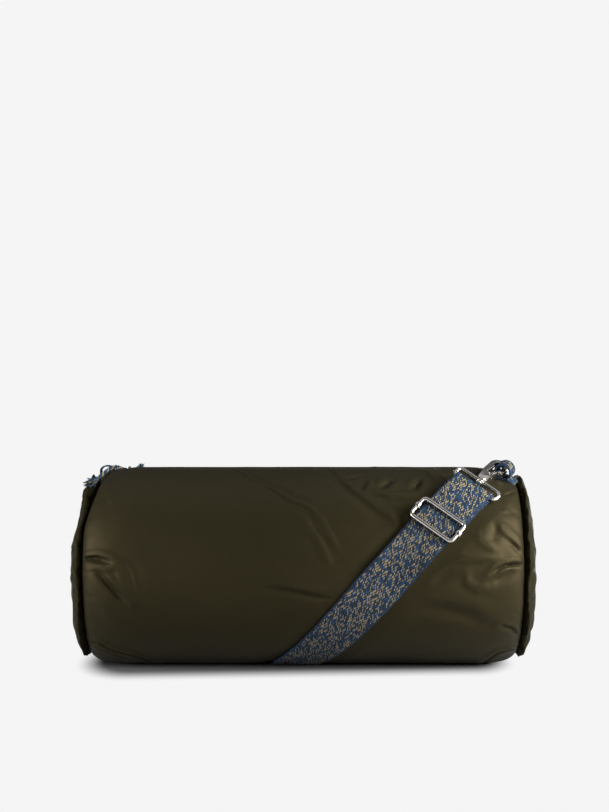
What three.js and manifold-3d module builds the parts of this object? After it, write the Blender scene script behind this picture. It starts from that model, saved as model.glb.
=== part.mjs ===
// A barrel-shaped padded shoulder bag lying on its flattened base: padded nylon body and end panels,
// lining, zipped mouth with two facings, cord zip pull, and an adjustable webbing strap on swivel hooks.
// Millimetres. X runs along the barrel, -Y is the front, +Z is up and z = 0 is the floor.
import * as THREE from 'three';
import { mergeVertices } from 'three/addons/utils/BufferGeometryUtils.js';
import Module from 'manifold-3d';

const wasm = await Module();
wasm.setup();

// Gaps: between touching pieces, and inside a fold of webbing round a bar
const CLEARANCE = 0.3;
const FOLD_GAP = 0.6;

// Padded barrel
const BARREL_RADIUS = 92;
const BASE_FLATTENING = 4;
const BODY_LENGTH = 392;
const SHOULDER_LENGTH = 46;
const SHOULDER_DROP = 13;
const WALL = 7;
const LINING_THICKNESS = 1;

// Padded end panels
const END_RIM_INSET = 8;
const END_SEAM_INSET = 15;
const END_RIM_WIDTH = 12;
const END_DOME = 5;

// Mouth and zip
const MOUTH_FROM_SEAM = 64;
const MOUTH_WIDTH = 76;
const ZIP_FROM_SEAM = 20;
const ZIP_SLOT_WIDTH = 13;
const ZIP_SPLIT = 1.6;
const TAPE_HALF_WIDTH = 12;
const TAPE_THICKNESS = 1;
const COIL_WIDTH = 2.5;
const COIL_HEIGHT = 1.6;
const ZIP_END_BAR = 5;
const STOP_LENGTH = 3;
const STOP_HEIGHT = 2.6;

// Zip slider and its cord pull
const SLIDER_LENGTH = 14;
const SLIDER_WIDTH = 9;
const SLIDER_PLATE = 1.1;
const SLIDER_END_GAP = 1.5;
const BRIDGE_LENGTH = 4;
const BRIDGE_WALL = 1;
const PULL_CORD_DIAMETER = 3.6;
const TASSEL_RADIUS = 3.6;

// Webbing strap
const STRAP_WIDTH = 40;
const STRAP_THICKNESS = 1.6;
const STRAP_LEAN_DEG = 41;
const STRAP_FOLD_RADIUS = 2;
const STRAP_TURN_RADIUS = 3;
const STRAP_STORE_BEHIND = 76;
const BAIL_ANGLE_DEG = 50.6;
const LEFT_DROP_DEG = 14;
const BAIL_FROM_SEAM = 42.7;
const ADJUSTER_DISTANCE = 53;
const SEWN_END_LENGTH = 12;

// Wire bails and adjuster
const WIRE = 3;
const WIRE_EDGE = 0.7;
const WIRE_SIDE_GAP = 1.4;
const WIRE_CORNER = 3;
const BAIL_DEPTH = 10.2;
const ADJUSTER_DEPTH = 21;
const BAR_DIAMETER = 2.2;
const BAR_RING_WALL = 0.9;
const BAR_RING_LENGTH = 4;

// Swivel hooks
const HOOK_THICKNESS = 5;
const HOOK_NECK_WIDTH = 9;
const HOOK_STEM = 4.5;
const HOOK_NOSE = 4;
const HOOK_MOUTH = 9;
const HOOK_CROWN_PLACE = 37;
const HOOK_NOSE_TIP = 24;
const POST_RADIUS = 1.7;
const POST_HEAD_RADIUS = 2.8;
const POST_HEAD_LENGTH = 1.7;
const COLLAR_RADIUS = 3.6;
const COLLAR_LENGTH = 6.2;
const GATE_PIVOT = new THREE.Vector2(2, 15);
const GATE_WIDTH = 2.4;
const GATE_HUB_RADIUS = 2.2;
const GATE_HUB_THICKNESS = 1.4;
const GATE_FINGER_THICKNESS = 3.6;
const GATE_OVERLAP = 1.2;
const LUG_RIM = 0.8;
const PIN_RADIUS = 0.9;
const CHEEK = 1;
const SPRING_WIDTH = 0.7;

// Tab loops sewn into the end seams
const TAB_WIDTH = 11;
const TAB_THICKNESS = 1.8;
const TAB_EYE_RADIUS = 6.5;
const TAB_TAIL_LENGTH = 17;
const TAB_TAIL_SHIFT = 8;
const TAB_BELOW_CROWN = 2;
const TAB_TAIL_DIRECTION = new THREE.Vector2(0.585, -0.811).normalize();

// Directions of the right-hand hook: along its swivel axis, and towards its nose
const HOOK_AXIS = new THREE.Vector3(0.5, 0.8, 0.33).normalize();
const HOOK_NOSE_SIDE = new THREE.Vector3(0.856, -0.398, -0.33);

// Fineness of the round surfaces
const BARREL_SEGMENTS = 48;
const SHOULDER_STEPS = 6;
const ROUND_SEGMENTS = 12;
const SECTION_STEP = 0.5;

// Places worked out from the sizes above
const axisZ = BARREL_RADIUS - BASE_FLATTENING;
const topZ = axisZ + BARREL_RADIUS;
const halfBody = BODY_LENGTH / 2;
const endRimRadius = BARREL_RADIUS - END_RIM_INSET;
const endSeamRadius = BARREL_RADIUS - END_SEAM_INSET;
const bailPlaceX = halfBody - BAIL_FROM_SEAM;
const storeReach = BARREL_RADIUS + STRAP_STORE_BEHIND;
const halfMouth = halfBody - MOUTH_FROM_SEAM;
const halfZip = halfBody - ZIP_FROM_SEAM;
const far = BODY_LENGTH;
const tapeTop = axisZ + Math.sqrt((BARREL_RADIUS - WALL) ** 2 - TAPE_HALF_WIDTH ** 2) - CLEARANCE;
const coilBase = tapeTop + CLEARANCE;
const coilTop = coilBase + COIL_HEIGHT;
const sliderTop = coilTop + CLEARANCE + SLIDER_PLATE;
const sliderPlace = -(halfZip - ZIP_END_BAR - SLIDER_END_GAP - SLIDER_LENGTH / 2);
const bridgeSpace = PULL_CORD_DIAMETER + 2 * CLEARANCE;

const material = (color, roughness, metalness = 0) =>
  new THREE.MeshStandardMaterial({ color, roughness, metalness });
const nylon = material(0x3b3529, 0.55);
const liningCloth = material(0x2b2a27, 0.8);
const webbing = material(0x2b5373, 0.85);
const cordYarn = material(0x2c5878, 0.85);
const zipTape = material(0x2f2a20, 0.8);
const zipCoil = material(0x25221b, 0.45);
const nickel = material(0xc9c7c3, 0.22, 1);

// A closed geometry as a solid, and a solid back as a geometry
function toSolid(geometry) {
  const bare = geometry.clone();
  bare.deleteAttribute('normal');
  bare.deleteAttribute('uv');
  const merged = mergeVertices(bare, 1e-4);
  const index = merged.index.array;
  const triangles = [];
  for (let i = 0; i < index.length; i += 3) {
    const [a, b, c] = [index[i], index[i + 1], index[i + 2]];
    if (a !== b && b !== c && c !== a) triangles.push(a, b, c);
  }
  const vertProperties = new Float32Array(merged.attributes.position.array);
  const triVerts = new Uint32Array(triangles);
  return new wasm.Manifold(new wasm.Mesh({ numProp: 3, vertProperties, triVerts }));
}

function toGeometry(solid) {
  const mesh = solid.getMesh();
  const geometry = new THREE.BufferGeometry();
  geometry.setAttribute('position', new THREE.BufferAttribute(new Float32Array(mesh.vertProperties), 3));
  geometry.setIndex(new THREE.BufferAttribute(new Uint32Array(mesh.triVerts), 1));
  return geometry;
}

const union = (...geometries) => toGeometry(geometries.map(toSolid).reduce((sum, next) => sum.add(next)));
const subtract = (base, ...cutters) =>
  toGeometry(cutters.map(toSolid).reduce((rest, next) => rest.subtract(next), toSolid(base)));
const intersect = (a, b) => toGeometry(toSolid(a).intersect(toSolid(b)));

function block([x0, x1], [y0, y1], [z0, z1]) {
  const box = new THREE.BoxGeometry(x1 - x0, y1 - y0, z1 - z0);
  return box.translate((x0 + x1) / 2, (y0 + y1) / 2, (z0 + z1) / 2);
}

// A rod or ring of round section from a to b
function rod(a, b, radiusA, radiusB = radiusA, segments = ROUND_SEGMENTS) {
  const length = a.distanceTo(b);
  const geometry = new THREE.CylinderGeometry(radiusB, radiusA, length, segments);
  const turn = new THREE.Quaternion().setFromUnitVectors(
    new THREE.Vector3(0, 1, 0), b.clone().sub(a).normalize());
  geometry.applyQuaternion(turn);
  const middle = a.clone().add(b).multiplyScalar(0.5);
  return geometry.translate(middle.x, middle.y, middle.z);
}

// A turned solid about the X axis from (radius, x) points that start and end on the axis
function turned(points) {
  const geometry = new THREE.LatheGeometry(points, BARREL_SEGMENTS).rotateZ(-Math.PI / 2);
  return toGeometry(toSolid(geometry));
}

function mesh(name, geometry, look) {
  const piece = new THREE.Mesh(geometry, look);
  piece.name = name;
  return piece;
}

// Barrel: outer surface, inset copies of it, and the wall between them
function barrelProfile(inset, overrun) {
  const half = [];
  for (let step = 0; step <= SHOULDER_STEPS; step += 1) {
    const angle = (step / SHOULDER_STEPS) * (Math.PI / 2);
    const x = halfBody - SHOULDER_LENGTH + SHOULDER_LENGTH * Math.sin(angle);
    const radius = BARREL_RADIUS - SHOULDER_DROP * (1 - Math.cos(angle)) - inset;
    half.push(new THREE.Vector2(radius, x));
  }
  const seam = half.at(-1);
  if (overrun > 0) half.push(new THREE.Vector2(seam.x, seam.y + overrun));
  if (overrun < 0) seam.y += overrun;
  half.push(new THREE.Vector2(0, halfBody + overrun));
  const mirrored = half.map((point) => new THREE.Vector2(point.x, -point.y)).reverse();
  return [...mirrored, ...half];
}

function barrelSolid(inset, overrun, floor) {
  const round = turned(barrelProfile(inset, overrun)).translate(0, 0, axisZ);
  return subtract(round, block([-far, far], [-far, far], [-far, floor]));
}

const barrelWall = subtract(barrelSolid(0, 0, 0), barrelSolid(WALL, 1, WALL));

// Mouth: the gap in the barrel wall that the two facings fill, and the narrow slots at the zip's ends
function mouthCut(side, halfWidth, bottom) {
  return block([-side, side], [-halfWidth, halfWidth], [bottom, far]);
}

const tapePocket = block(
  [-halfZip - CLEARANCE, halfZip + CLEARANCE],
  [-TAPE_HALF_WIDTH - CLEARANCE, TAPE_HALF_WIDTH + CLEARANCE],
  [axisZ, tapeTop + CLEARANCE]);

// Strap route. Its side view is a list of points in the YZ plane, from above the right bail down the
// front of the barrel, under the base, out behind, folded back, and up the rear to the left bail.
const radians = THREE.MathUtils.degToRad;
const strapSeat = BARREL_RADIUS + CLEARANCE + STRAP_THICKNESS / 2;
const barWrapRadius = BAR_DIAMETER / 2 + FOLD_GAP + STRAP_THICKNESS / 2;
const bailFoldRadius = WIRE / 2 + FOLD_GAP + STRAP_THICKNESS / 2;
const wrapTopDepth = STRAP_THICKNESS + CLEARANCE;
const barDepth = wrapTopDepth + barWrapRadius;
const wrapLowDepth = wrapTopDepth + 2 * barWrapRadius;
const strapLift = wrapLowDepth + STRAP_THICKNESS;
const LIFT_START_DEG = -5;
const LIFT_FULL_DEG = 22;
const ROUTE_TOP_DEG = 62;
const leanSlope = Math.tan(radians(STRAP_LEAN_DEG));
const leanCos = Math.cos(radians(STRAP_LEAN_DEG));

const ease = (from, to, value) => THREE.MathUtils.smoothstep(value, from, to);
const strapRadius = (deg) => strapSeat + strapLift * ease(LIFT_START_DEG, LIFT_FULL_DEG, deg);

function sectionRoute() {
  const floorZ = STRAP_THICKNESS / 2;
  const contactDeg = -THREE.MathUtils.radToDeg(Math.asin((axisZ - floorZ) / strapSeat));
  const returnZ = floorZ + 2 * STRAP_FOLD_RADIUS;
  const turnZ = returnZ + STRAP_TURN_RADIUS;
  const turnY = Math.sqrt((strapSeat + STRAP_TURN_RADIUS) ** 2 - (axisZ - turnZ) ** 2);
  const climbDeg = -THREE.MathUtils.radToDeg(Math.atan2(axisZ - turnZ, turnY));
  const points = [];
  const onBarrel = (deg, side, drop) => {
    const radius = strapRadius(deg + drop);
    points.push(new THREE.Vector2(
      side * radius * Math.cos(radians(deg)), axisZ + radius * Math.sin(radians(deg))));
  };
  const arc = (y, z, radius, fromDeg, toDeg) => {
    const count = Math.ceil(Math.abs(radians(toDeg - fromDeg)) * radius / SECTION_STEP);
    for (let i = 0; i <= count; i += 1) {
      const angle = radians(fromDeg + ((toDeg - fromDeg) * i) / count);
      points.push(new THREE.Vector2(y + radius * Math.cos(angle), z + radius * Math.sin(angle)));
    }
  };
  const degStep = THREE.MathUtils.radToDeg(SECTION_STEP / strapSeat);
  for (let deg = ROUTE_TOP_DEG; deg > contactDeg; deg -= degStep) onBarrel(deg, -1, 0);
  const floorStart = points.length - 1;
  arc(storeReach, floorZ + STRAP_FOLD_RADIUS, STRAP_FOLD_RADIUS, -90, 90);
  arc(turnY, turnZ, STRAP_TURN_RADIUS, 270, 180 + climbDeg);
  const climbStart = points.length;
  for (let deg = climbDeg; deg < ROUTE_TOP_DEG - LEFT_DROP_DEG; deg += degStep) {
    onBarrel(deg, 1, LEFT_DROP_DEG);
  }
  return { points, floorStart, climbStart };
}

const route = sectionRoute();
const routeLength = [0];
for (let i = 1; i < route.points.length; i += 1) {
  routeLength.push(routeLength[i - 1] + route.points[i].distanceTo(route.points[i - 1]));
}

const routeEnd = routeLength.at(-1);
const floorFrom = routeLength[route.floorStart];
const climbFrom = routeLength[route.climbStart];
const bailFrom = radians(ROUTE_TOP_DEG - BAIL_ANGLE_DEG) * (strapSeat + strapLift);
const bailTo = routeEnd - bailFrom;

// Share of the straight-back lie: 0 where the strap runs slantwise over the barrel, 1 on the floor
const EASE_LENGTH = 95;
const straightShare = (q) =>
  ease(floorFrom, floorFrom + EASE_LENGTH, q) * (1 - ease(climbFrom, climbFrom + EASE_LENGTH, q));

// Below the barrel's widest line the front run hangs steeper
const LOW_STEEPENING = 0.24;
const widestFrom = radians(ROUTE_TOP_DEG) * strapSeat;
const barrelSlope = (q) => leanSlope * (1 - LOW_STEEPENING
  * ease(widestFrom, floorFrom, q) * (1 - ease(floorFrom + EASE_LENGTH, climbFrom, q)));

// The slope on the floor is the one that brings the left bail opposite the right one
const slantAndStraight = [0, 0];
const ROUTE_SUM_STEP = 0.5;
for (let q = bailFrom; q < bailTo; q += ROUTE_SUM_STEP) {
  const share = straightShare(q + ROUTE_SUM_STEP / 2);
  slantAndStraight[0] += barrelSlope(q + ROUTE_SUM_STEP / 2) * (1 - share) * ROUTE_SUM_STEP;
  slantAndStraight[1] += share * ROUTE_SUM_STEP;
}
const floorSlope = (2 * bailPlaceX - slantAndStraight[0]) / slantAndStraight[1];
const slopeAt = (q) => THREE.MathUtils.lerp(barrelSlope(q), floorSlope, straightShare(q));

const routeX = [bailPlaceX + bailFrom * leanSlope];
for (let i = 1; i < routeLength.length; i += 1) {
  const step = routeLength[i] - routeLength[i - 1];
  const middle = (routeLength[i] + routeLength[i - 1]) / 2;
  let drift = 0;
  const parts = Math.ceil(step / ROUTE_SUM_STEP);
  for (let k = 0; k < parts; k += 1) {
    drift += slopeAt(middle + step * ((k + 0.5) / parts - 0.5)) * (step / parts);
  }
  routeX.push(routeX[i - 1] - drift);
}

function routePlace(q) {
  let i = routeLength.findIndex((length) => length > q);
  if (i < 1) i = q <= 0 ? 1 : routeLength.length - 1;
  const share = (q - routeLength[i - 1]) / (routeLength[i] - routeLength[i - 1]);
  const spot = route.points[i - 1].clone().lerp(route.points[i], share);
  return new THREE.Vector3(THREE.MathUtils.lerp(routeX[i - 1], routeX[i], share), spot.x, spot.y);
}

// Near the bails the strap bends without twisting, so that straight bars fit its folds
const FLAT_LENGTH = 70;
const TWIST_LENGTH = 60;
const flatMiddle = bailFrom + (ADJUSTER_DISTANCE / 2) * leanCos;

function strapTangent(q) {
  const reach = SECTION_STEP;
  return routePlace(q + reach).sub(routePlace(q - reach)).normalize();
}

function slantAcross(q) {
  const along = strapTangent(q);
  const section = new THREE.Vector3(0, along.y, along.z).normalize();
  const slope = slopeAt(q);
  return new THREE.Vector3(1, slope * section.y, slope * section.z).normalize();
}

const rightAcross = slantAcross(flatMiddle);
const leftAcross = new THREE.Vector3(rightAcross.x, rightAcross.y, -rightAcross.z)
  .applyAxisAngle(new THREE.Vector3(1, 0, 0), -radians(LEFT_DROP_DEG));
const fromRight = (q) => (q - bailFrom) / leanCos;
const fromLeft = (q) => (bailTo - q) / leanCos;
const flatShare = (q) =>
  1 - ease(FLAT_LENGTH, FLAT_LENGTH + TWIST_LENGTH, Math.min(fromRight(q), fromLeft(q)));

function strapFrame(q) {
  const along = strapTangent(q);
  const across = (fromRight(q) < fromLeft(q) ? rightAcross : leftAcross).clone();
  across.addScaledVector(along, -across.dot(along)).normalize();
  const out = along.clone().cross(across).normalize();
  return { point: routePlace(q), along, across, out };
}

function flatSpot(q, height, width) {
  const frame = strapFrame(q);
  return frame.point.addScaledVector(frame.out, height).addScaledVector(frame.across, width);
}

// Elsewhere its edges follow the same route as its middle, ahead of it or behind it
function wrappedSpot(q, height, width) {
  const slope = slopeAt(q) * (1 - straightShare(q));
  const reach = width / Math.hypot(1, slope);
  const spot = routePlace(q + reach * slope);
  spot.x = routePlace(q).x + reach;
  const along = strapTangent(q + reach * slope);
  return spot.addScaledVector(new THREE.Vector3(0, along.z, -along.y).normalize(), height);
}

// A band of webbing from a centreline of (q, height) points, laid along the strap's route
function laidBand(line, thickness, width, strips) {
  const spans = line.length - 1;
  const band = new THREE.BoxGeometry(spans, thickness, width, spans, 1, strips);
  const position = band.attributes.position;
  for (let i = 0; i < position.count; i += 1) {
    const at = Math.round(position.getX(i) + spans / 2);
    const before = line[Math.max(0, at - 1)];
    const after = line[Math.min(spans, at + 1)];
    const along = after.clone().sub(before).normalize();
    const spot = new THREE.Vector2(-along.y, along.x).multiplyScalar(position.getY(i)).add(line[at]);
    const wrapped = wrappedSpot(spot.x, spot.y, -position.getZ(i));
    const place = wrapped.lerp(flatSpot(spot.x, spot.y, -position.getZ(i)), flatShare(spot.x));
    position.setXYZ(i, place.x, place.y, place.z);
  }
  return toGeometry(toSolid(band));
}

// Stations along the strap: wide on the runs, close together where it meets the floor and folds
const RUN_STEP = 9;
const FOLD_STEP = 1;
const FOLD_MARGIN = 4;
const outFoldTo = floorFrom + route.points[route.floorStart].distanceTo(route.points[route.floorStart + 1])
  + Math.PI * STRAP_FOLD_RADIUS;
const closeSpans = [
  [floorFrom - STRAP_WIDTH / 2, floorFrom + STRAP_WIDTH / 2],
  [outFoldTo - Math.PI * STRAP_FOLD_RADIUS - FOLD_MARGIN, outFoldTo + FOLD_MARGIN],
  [climbFrom - Math.PI * STRAP_TURN_RADIUS - FOLD_MARGIN, climbFrom + FOLD_MARGIN],
];

function stations(from, to) {
  const list = [from];
  while (list.at(-1) < to - FOLD_STEP) {
    const q = list.at(-1);
    const close = closeSpans.find((span) => q >= span[0] && q < span[1]);
    const ahead = closeSpans.map((span) => span[0]).filter((start) => start > q);
    list.push(close ? q + FOLD_STEP : Math.min(q + RUN_STEP, ...ahead));
  }
  list[list.length - 1] = to;
  return list;
}

const WRAPPED_STRIPS = 4;
const FOLD_LEG = 14;
const legCover = FOLD_LEG * leanCos;
const strapLine = stations(bailFrom + legCover + CLEARANCE, bailTo - legCover - CLEARANCE)
  .map((q) => new THREE.Vector2(q, 0));
const strapBand = laidBand(strapLine, STRAP_THICKNESS, STRAP_WIDTH, WRAPPED_STRIPS);
const strap = mesh('strap_webbing', strapBand, webbing);

// Webbing folded round the bail's bar, with an under layer that ends at the given distance
function foldLine(endDistance, endDepth) {
  const line = [];
  const put = (distance, depth) => line.push(new THREE.Vector2(bailFrom + distance * leanCos, -depth));
  put(FOLD_LEG, 0);
  put(FOLD_LEG / 2, 0);
  const FOLD_POINTS = 6;
  for (let i = 0; i <= FOLD_POINTS; i += 1) {
    const angle = (Math.PI * i) / FOLD_POINTS;
    put(-bailFoldRadius * Math.sin(angle), bailFoldRadius * (1 - Math.cos(angle)));
  }
  const LAYER_POINTS = 5;
  for (let i = 1; i <= LAYER_POINTS; i += 1) {
    const share = i / LAYER_POINTS;
    put(endDistance * share, THREE.MathUtils.lerp(2 * bailFoldRadius, endDepth, share));
  }
  return { line, put };
}

function adjusterFold() {
  const { line, put } = foldLine(ADJUSTER_DISTANCE, wrapLowDepth);
  const WRAP_POINTS = 6;
  for (let i = 1; i <= WRAP_POINTS; i += 1) {
    const angle = (Math.PI * i) / WRAP_POINTS;
    const reach = ADJUSTER_DISTANCE + barWrapRadius * Math.sin(angle);
    put(reach, barDepth + barWrapRadius * Math.cos(angle));
  }
  put(ADJUSTER_DISTANCE - SEWN_END_LENGTH, wrapTopDepth);
  return laidBand(line, STRAP_THICKNESS, STRAP_WIDTH, 1);
}

const SEWN_LEG = 30;
const sewnFold = () =>
  laidBand(foldLine(SEWN_LEG, 2 * bailFoldRadius).line, STRAP_THICKNESS, STRAP_WIDTH, 1);

// Groove that the strap presses into the underside of the bag
const grooveTop = STRAP_THICKNESS / 2 + CLEARANCE;
const GROOVE_BELOW = 3;
const GROOVE_LEAD = 14;
const grooveLine = stations(floorFrom - GROOVE_LEAD, floorFrom + BARREL_RADIUS)
  .map((q) => new THREE.Vector2(q, (GROOVE_BELOW - grooveTop) / 2));
const groove = laidBand(
  grooveLine, grooveTop + GROOVE_BELOW, STRAP_WIDTH + 4 * CLEARANCE, WRAPPED_STRIPS);

// Wire frames: a rounded rectangle of wire round an opening of the given size between wire centres
function roundedRectangle(width, depth, radius, Kind) {
  const [x, y] = [width / 2, depth / 2];
  const outline = new Kind();
  outline.absarc(x - radius, y - radius, radius, 0, Math.PI / 2);
  outline.absarc(radius - x, y - radius, radius, Math.PI / 2, Math.PI);
  outline.absarc(radius - x, radius - y, radius, Math.PI, 1.5 * Math.PI);
  outline.absarc(x - radius, radius - y, radius, 1.5 * Math.PI, 2 * Math.PI);
  return outline;
}

function wireFrame(width, depth) {
  const grow = WIRE - 2 * WIRE_EDGE;
  const outline = roundedRectangle(width + grow, depth + grow, WIRE_CORNER + grow / 2, THREE.Shape);
  outline.holes.push(roundedRectangle(width - grow, depth - grow, WIRE_CORNER - grow / 2, THREE.Path));
  const geometry = new THREE.ExtrudeGeometry(outline, {
    depth: WIRE - 2 * WIRE_EDGE,
    bevelThickness: WIRE_EDGE,
    bevelSize: WIRE_EDGE,
    bevelSegments: 1,
    curveSegments: 4,
  });
  return geometry.translate(0, 0, WIRE_EDGE - WIRE / 2);
}

const wireWidth = STRAP_WIDTH + 2 * WIRE_SIDE_GAP + WIRE;

// Frames on the strap: X across it, Y towards the hook, Z away from the bag
function strapPlace(q, height) {
  const frame = strapFrame(q);
  const place = new THREE.Matrix4().makeBasis(frame.across, frame.along.clone().negate(), frame.out);
  return place.setPosition(frame.point.addScaledVector(frame.out, height));
}

const bailPlace = strapPlace(bailFrom, -bailFoldRadius).multiply(
  new THREE.Matrix4().makeTranslation(0, BAIL_DEPTH, 0));
const hookOrigin = new THREE.Vector3().setFromMatrixPosition(bailPlace);

// Hook frame: X towards the nose, Y along the swivel axis, Z the thickness
const noseAlongAxis = HOOK_NOSE_SIDE.dot(HOOK_AXIS);
const noseSide = HOOK_NOSE_SIDE.clone().addScaledVector(HOOK_AXIS, -noseAlongAxis).normalize();
const hookPlace = new THREE.Matrix4()
  .makeBasis(noseSide, HOOK_AXIS, noseSide.clone().cross(HOOK_AXIS))
  .setPosition(hookOrigin);
const hookPoint = (x, y, z) => new THREE.Vector3(x, y, z);

function bail() {
  const frame = wireFrame(wireWidth, BAIL_DEPTH).translate(0, -BAIL_DEPTH / 2, 0).applyMatrix4(bailPlace);
  const collar = rod(
    hookPoint(0, -COLLAR_LENGTH / 2, 0), hookPoint(0, COLLAR_LENGTH / 2, 0), COLLAR_RADIUS);
  const bore = rod(
    hookPoint(0, -COLLAR_LENGTH, 0), hookPoint(0, COLLAR_LENGTH, 0), POST_RADIUS + CLEARANCE);
  return subtract(union(frame, collar.applyMatrix4(hookPlace)), bore.applyMatrix4(hookPlace));
}

// Hook body: neck, stem, crown and nose in one flat casting, with a slot for the gate
const neckStart = COLLAR_LENGTH / 2 + CLEARANCE;
const stemInner = GATE_PIVOT.x - HOOK_MOUTH / 2;
const stemOuter = stemInner - HOOK_STEM;
const noseInner = stemInner + HOOK_MOUTH;
const noseOuter = noseInner + HOOK_NOSE;
const lugRadius = GATE_HUB_RADIUS + LUG_RIM;

function hookOutline() {
  const outline = new THREE.Shape();
  const halfNeck = HOOK_NECK_WIDTH / 2;
  outline.moveTo(-halfNeck, neckStart);
  outline.lineTo(halfNeck, neckStart);
  outline.lineTo(GATE_PIVOT.x + lugRadius, GATE_PIVOT.y - lugRadius);
  outline.absarc(GATE_PIVOT.x, GATE_PIVOT.y, lugRadius, 0, Math.PI / 2);
  outline.lineTo(stemInner, GATE_PIVOT.y + lugRadius);
  outline.absarc((stemInner + noseInner) / 2, HOOK_CROWN_PLACE, HOOK_MOUTH / 2, Math.PI, 0, true);
  outline.lineTo(noseInner, HOOK_NOSE_TIP);
  outline.lineTo(noseOuter, HOOK_NOSE_TIP);
  outline.absarc((stemOuter + noseOuter) / 2, HOOK_CROWN_PLACE, (noseOuter - stemOuter) / 2, 0, Math.PI);
  outline.lineTo(stemOuter, GATE_PIVOT.y + 2 * lugRadius);
  return outline;
}

function hookBody() {
  const plate = new THREE.ExtrudeGeometry(
    hookOutline(), { depth: HOOK_THICKNESS, bevelEnabled: false, curveSegments: 8 });
  plate.translate(0, 0, -HOOK_THICKNESS / 2);
  const slot = block(
    [GATE_PIVOT.x - GATE_HUB_RADIUS - CLEARANCE, GATE_PIVOT.x + 2 * lugRadius],
    [GATE_PIVOT.y - GATE_HUB_RADIUS - CLEARANCE, GATE_PIVOT.y + 2 * lugRadius],
    [CHEEK - HOOK_THICKNESS / 2, HOOK_THICKNESS / 2 - CHEEK]);
  const pinBore = pinRod(PIN_RADIUS + CLEARANCE, HOOK_THICKNESS);
  const headTop = -COLLAR_LENGTH / 2 - CLEARANCE;
  const post = rod(
    hookPoint(0, headTop - POST_HEAD_LENGTH / 2, 0), hookPoint(0, neckStart + 1, 0), POST_RADIUS);
  const head = rod(hookPoint(0, headTop - POST_HEAD_LENGTH, 0), hookPoint(0, headTop, 0), POST_HEAD_RADIUS);
  return subtract(union(plate, post, head), slot, pinBore);
}

function pinRod(radius, length) {
  return rod(
    hookPoint(GATE_PIVOT.x, GATE_PIVOT.y, -length / 2),
    hookPoint(GATE_PIVOT.x, GATE_PIVOT.y, length / 2), radius);
}

// Gate: a hub on the pin and a finger that rests inside the nose
const gateTip = new THREE.Vector2(
  noseInner - CLEARANCE - GATE_WIDTH / 2, HOOK_NOSE_TIP + GATE_OVERLAP);
const hubLow = CHEEK + CLEARANCE - HOOK_THICKNESS / 2;

function gate() {
  const hub = rod(
    hookPoint(GATE_PIVOT.x, GATE_PIVOT.y, hubLow),
    hookPoint(GATE_PIVOT.x, GATE_PIVOT.y, hubLow + GATE_HUB_THICKNESS), GATE_HUB_RADIUS);
  const reach = gateTip.clone().sub(GATE_PIVOT);
  const arm = block(
    [-GATE_WIDTH / 2, GATE_WIDTH / 2], [0, reach.length()], [hubLow, hubLow + GATE_HUB_THICKNESS]);
  const finger = block(
    [-GATE_WIDTH / 2, GATE_WIDTH / 2], [lugRadius + 2 * CLEARANCE, reach.length()],
    [-GATE_FINGER_THICKNESS / 2, GATE_FINGER_THICKNESS / 2]);
  const lean = Math.atan2(reach.y, reach.x) - Math.PI / 2;
  const lever = union(arm, finger).rotateZ(lean).translate(GATE_PIVOT.x, GATE_PIVOT.y, 0);
  return subtract(union(hub, lever), pinRod(PIN_RADIUS + CLEARANCE, HOOK_THICKNESS));
}

function gateSpring() {
  const low = hubLow + GATE_HUB_THICKNESS + CLEARANCE;
  const ring = rod(
    hookPoint(GATE_PIVOT.x, GATE_PIVOT.y, low),
    hookPoint(GATE_PIVOT.x, GATE_PIVOT.y, low + SPRING_WIDTH), GATE_HUB_RADIUS - CLEARANCE);
  return subtract(ring, pinRod(PIN_RADIUS + CLEARANCE, HOOK_THICKNESS));
}

// Tab loop: an eye of tape round the hook's nose, and a doubled tail into the end seam
const eyeCentre = new THREE.Vector2((noseInner + noseOuter) / 2, 0);
const tabPlaceY = HOOK_CROWN_PLACE - TAB_BELOW_CROWN;

function tabLoop(margin, withEye) {
  const radius = TAB_EYE_RADIUS + TAB_THICKNESS + margin;
  const halfTail = TAB_THICKNESS + CLEARANCE / 2 + margin;
  const tail = TAB_TAIL_DIRECTION;
  const side = new THREE.Vector2(-tail.y, tail.x);
  const aim = Math.atan2(tail.y, tail.x);
  const spread = Math.asin(halfTail / radius);
  const end = eyeCentre.clone().addScaledVector(tail, TAB_TAIL_LENGTH + margin);
  const outline = new THREE.Shape();
  outline.absarc(eyeCentre.x, eyeCentre.y, radius, aim + spread, aim - spread + 2 * Math.PI);
  outline.lineTo(end.x - side.x * halfTail, end.y - side.y * halfTail);
  outline.lineTo(end.x + side.x * halfTail, end.y + side.y * halfTail);
  if (withEye) {
    const eye = new THREE.Path();
    eye.absarc(eyeCentre.x, eyeCentre.y, TAB_EYE_RADIUS, 0, 2 * Math.PI);
    outline.holes.push(eye);
  }
  const width = TAB_WIDTH + 2 * margin;
  const geometry = new THREE.ExtrudeGeometry(
    outline, { depth: width, bevelEnabled: false, curveSegments: 20 });
  geometry.rotateX(Math.PI / 2).translate(0, tabPlaceY + width / 2, 0);
  const position = geometry.attributes.position;
  for (let i = 0; i < position.count; i += 1) {
    const along = (position.getX(i) - eyeCentre.x) * tail.x + (position.getZ(i) - eyeCentre.y) * tail.y;
    const shift = TAB_TAIL_SHIFT * Math.max(0, (along - radius) / (TAB_TAIL_LENGTH - radius));
    position.setY(i, position.getY(i) + shift);
  }
  return toGeometry(toSolid(geometry)).applyMatrix4(hookPlace);
}

const tabSeat = tabLoop(CLEARANCE, false);

// The left end is the right one turned half round, with its hook further down behind the barrel
const leftPlace = new THREE.Matrix4().makeTranslation(0, 0, axisZ)
  .multiply(new THREE.Matrix4().makeRotationX(-radians(LEFT_DROP_DEG)))
  .multiply(new THREE.Matrix4().makeRotationZ(Math.PI))
  .multiply(new THREE.Matrix4().makeTranslation(0, 0, -axisZ));

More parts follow.
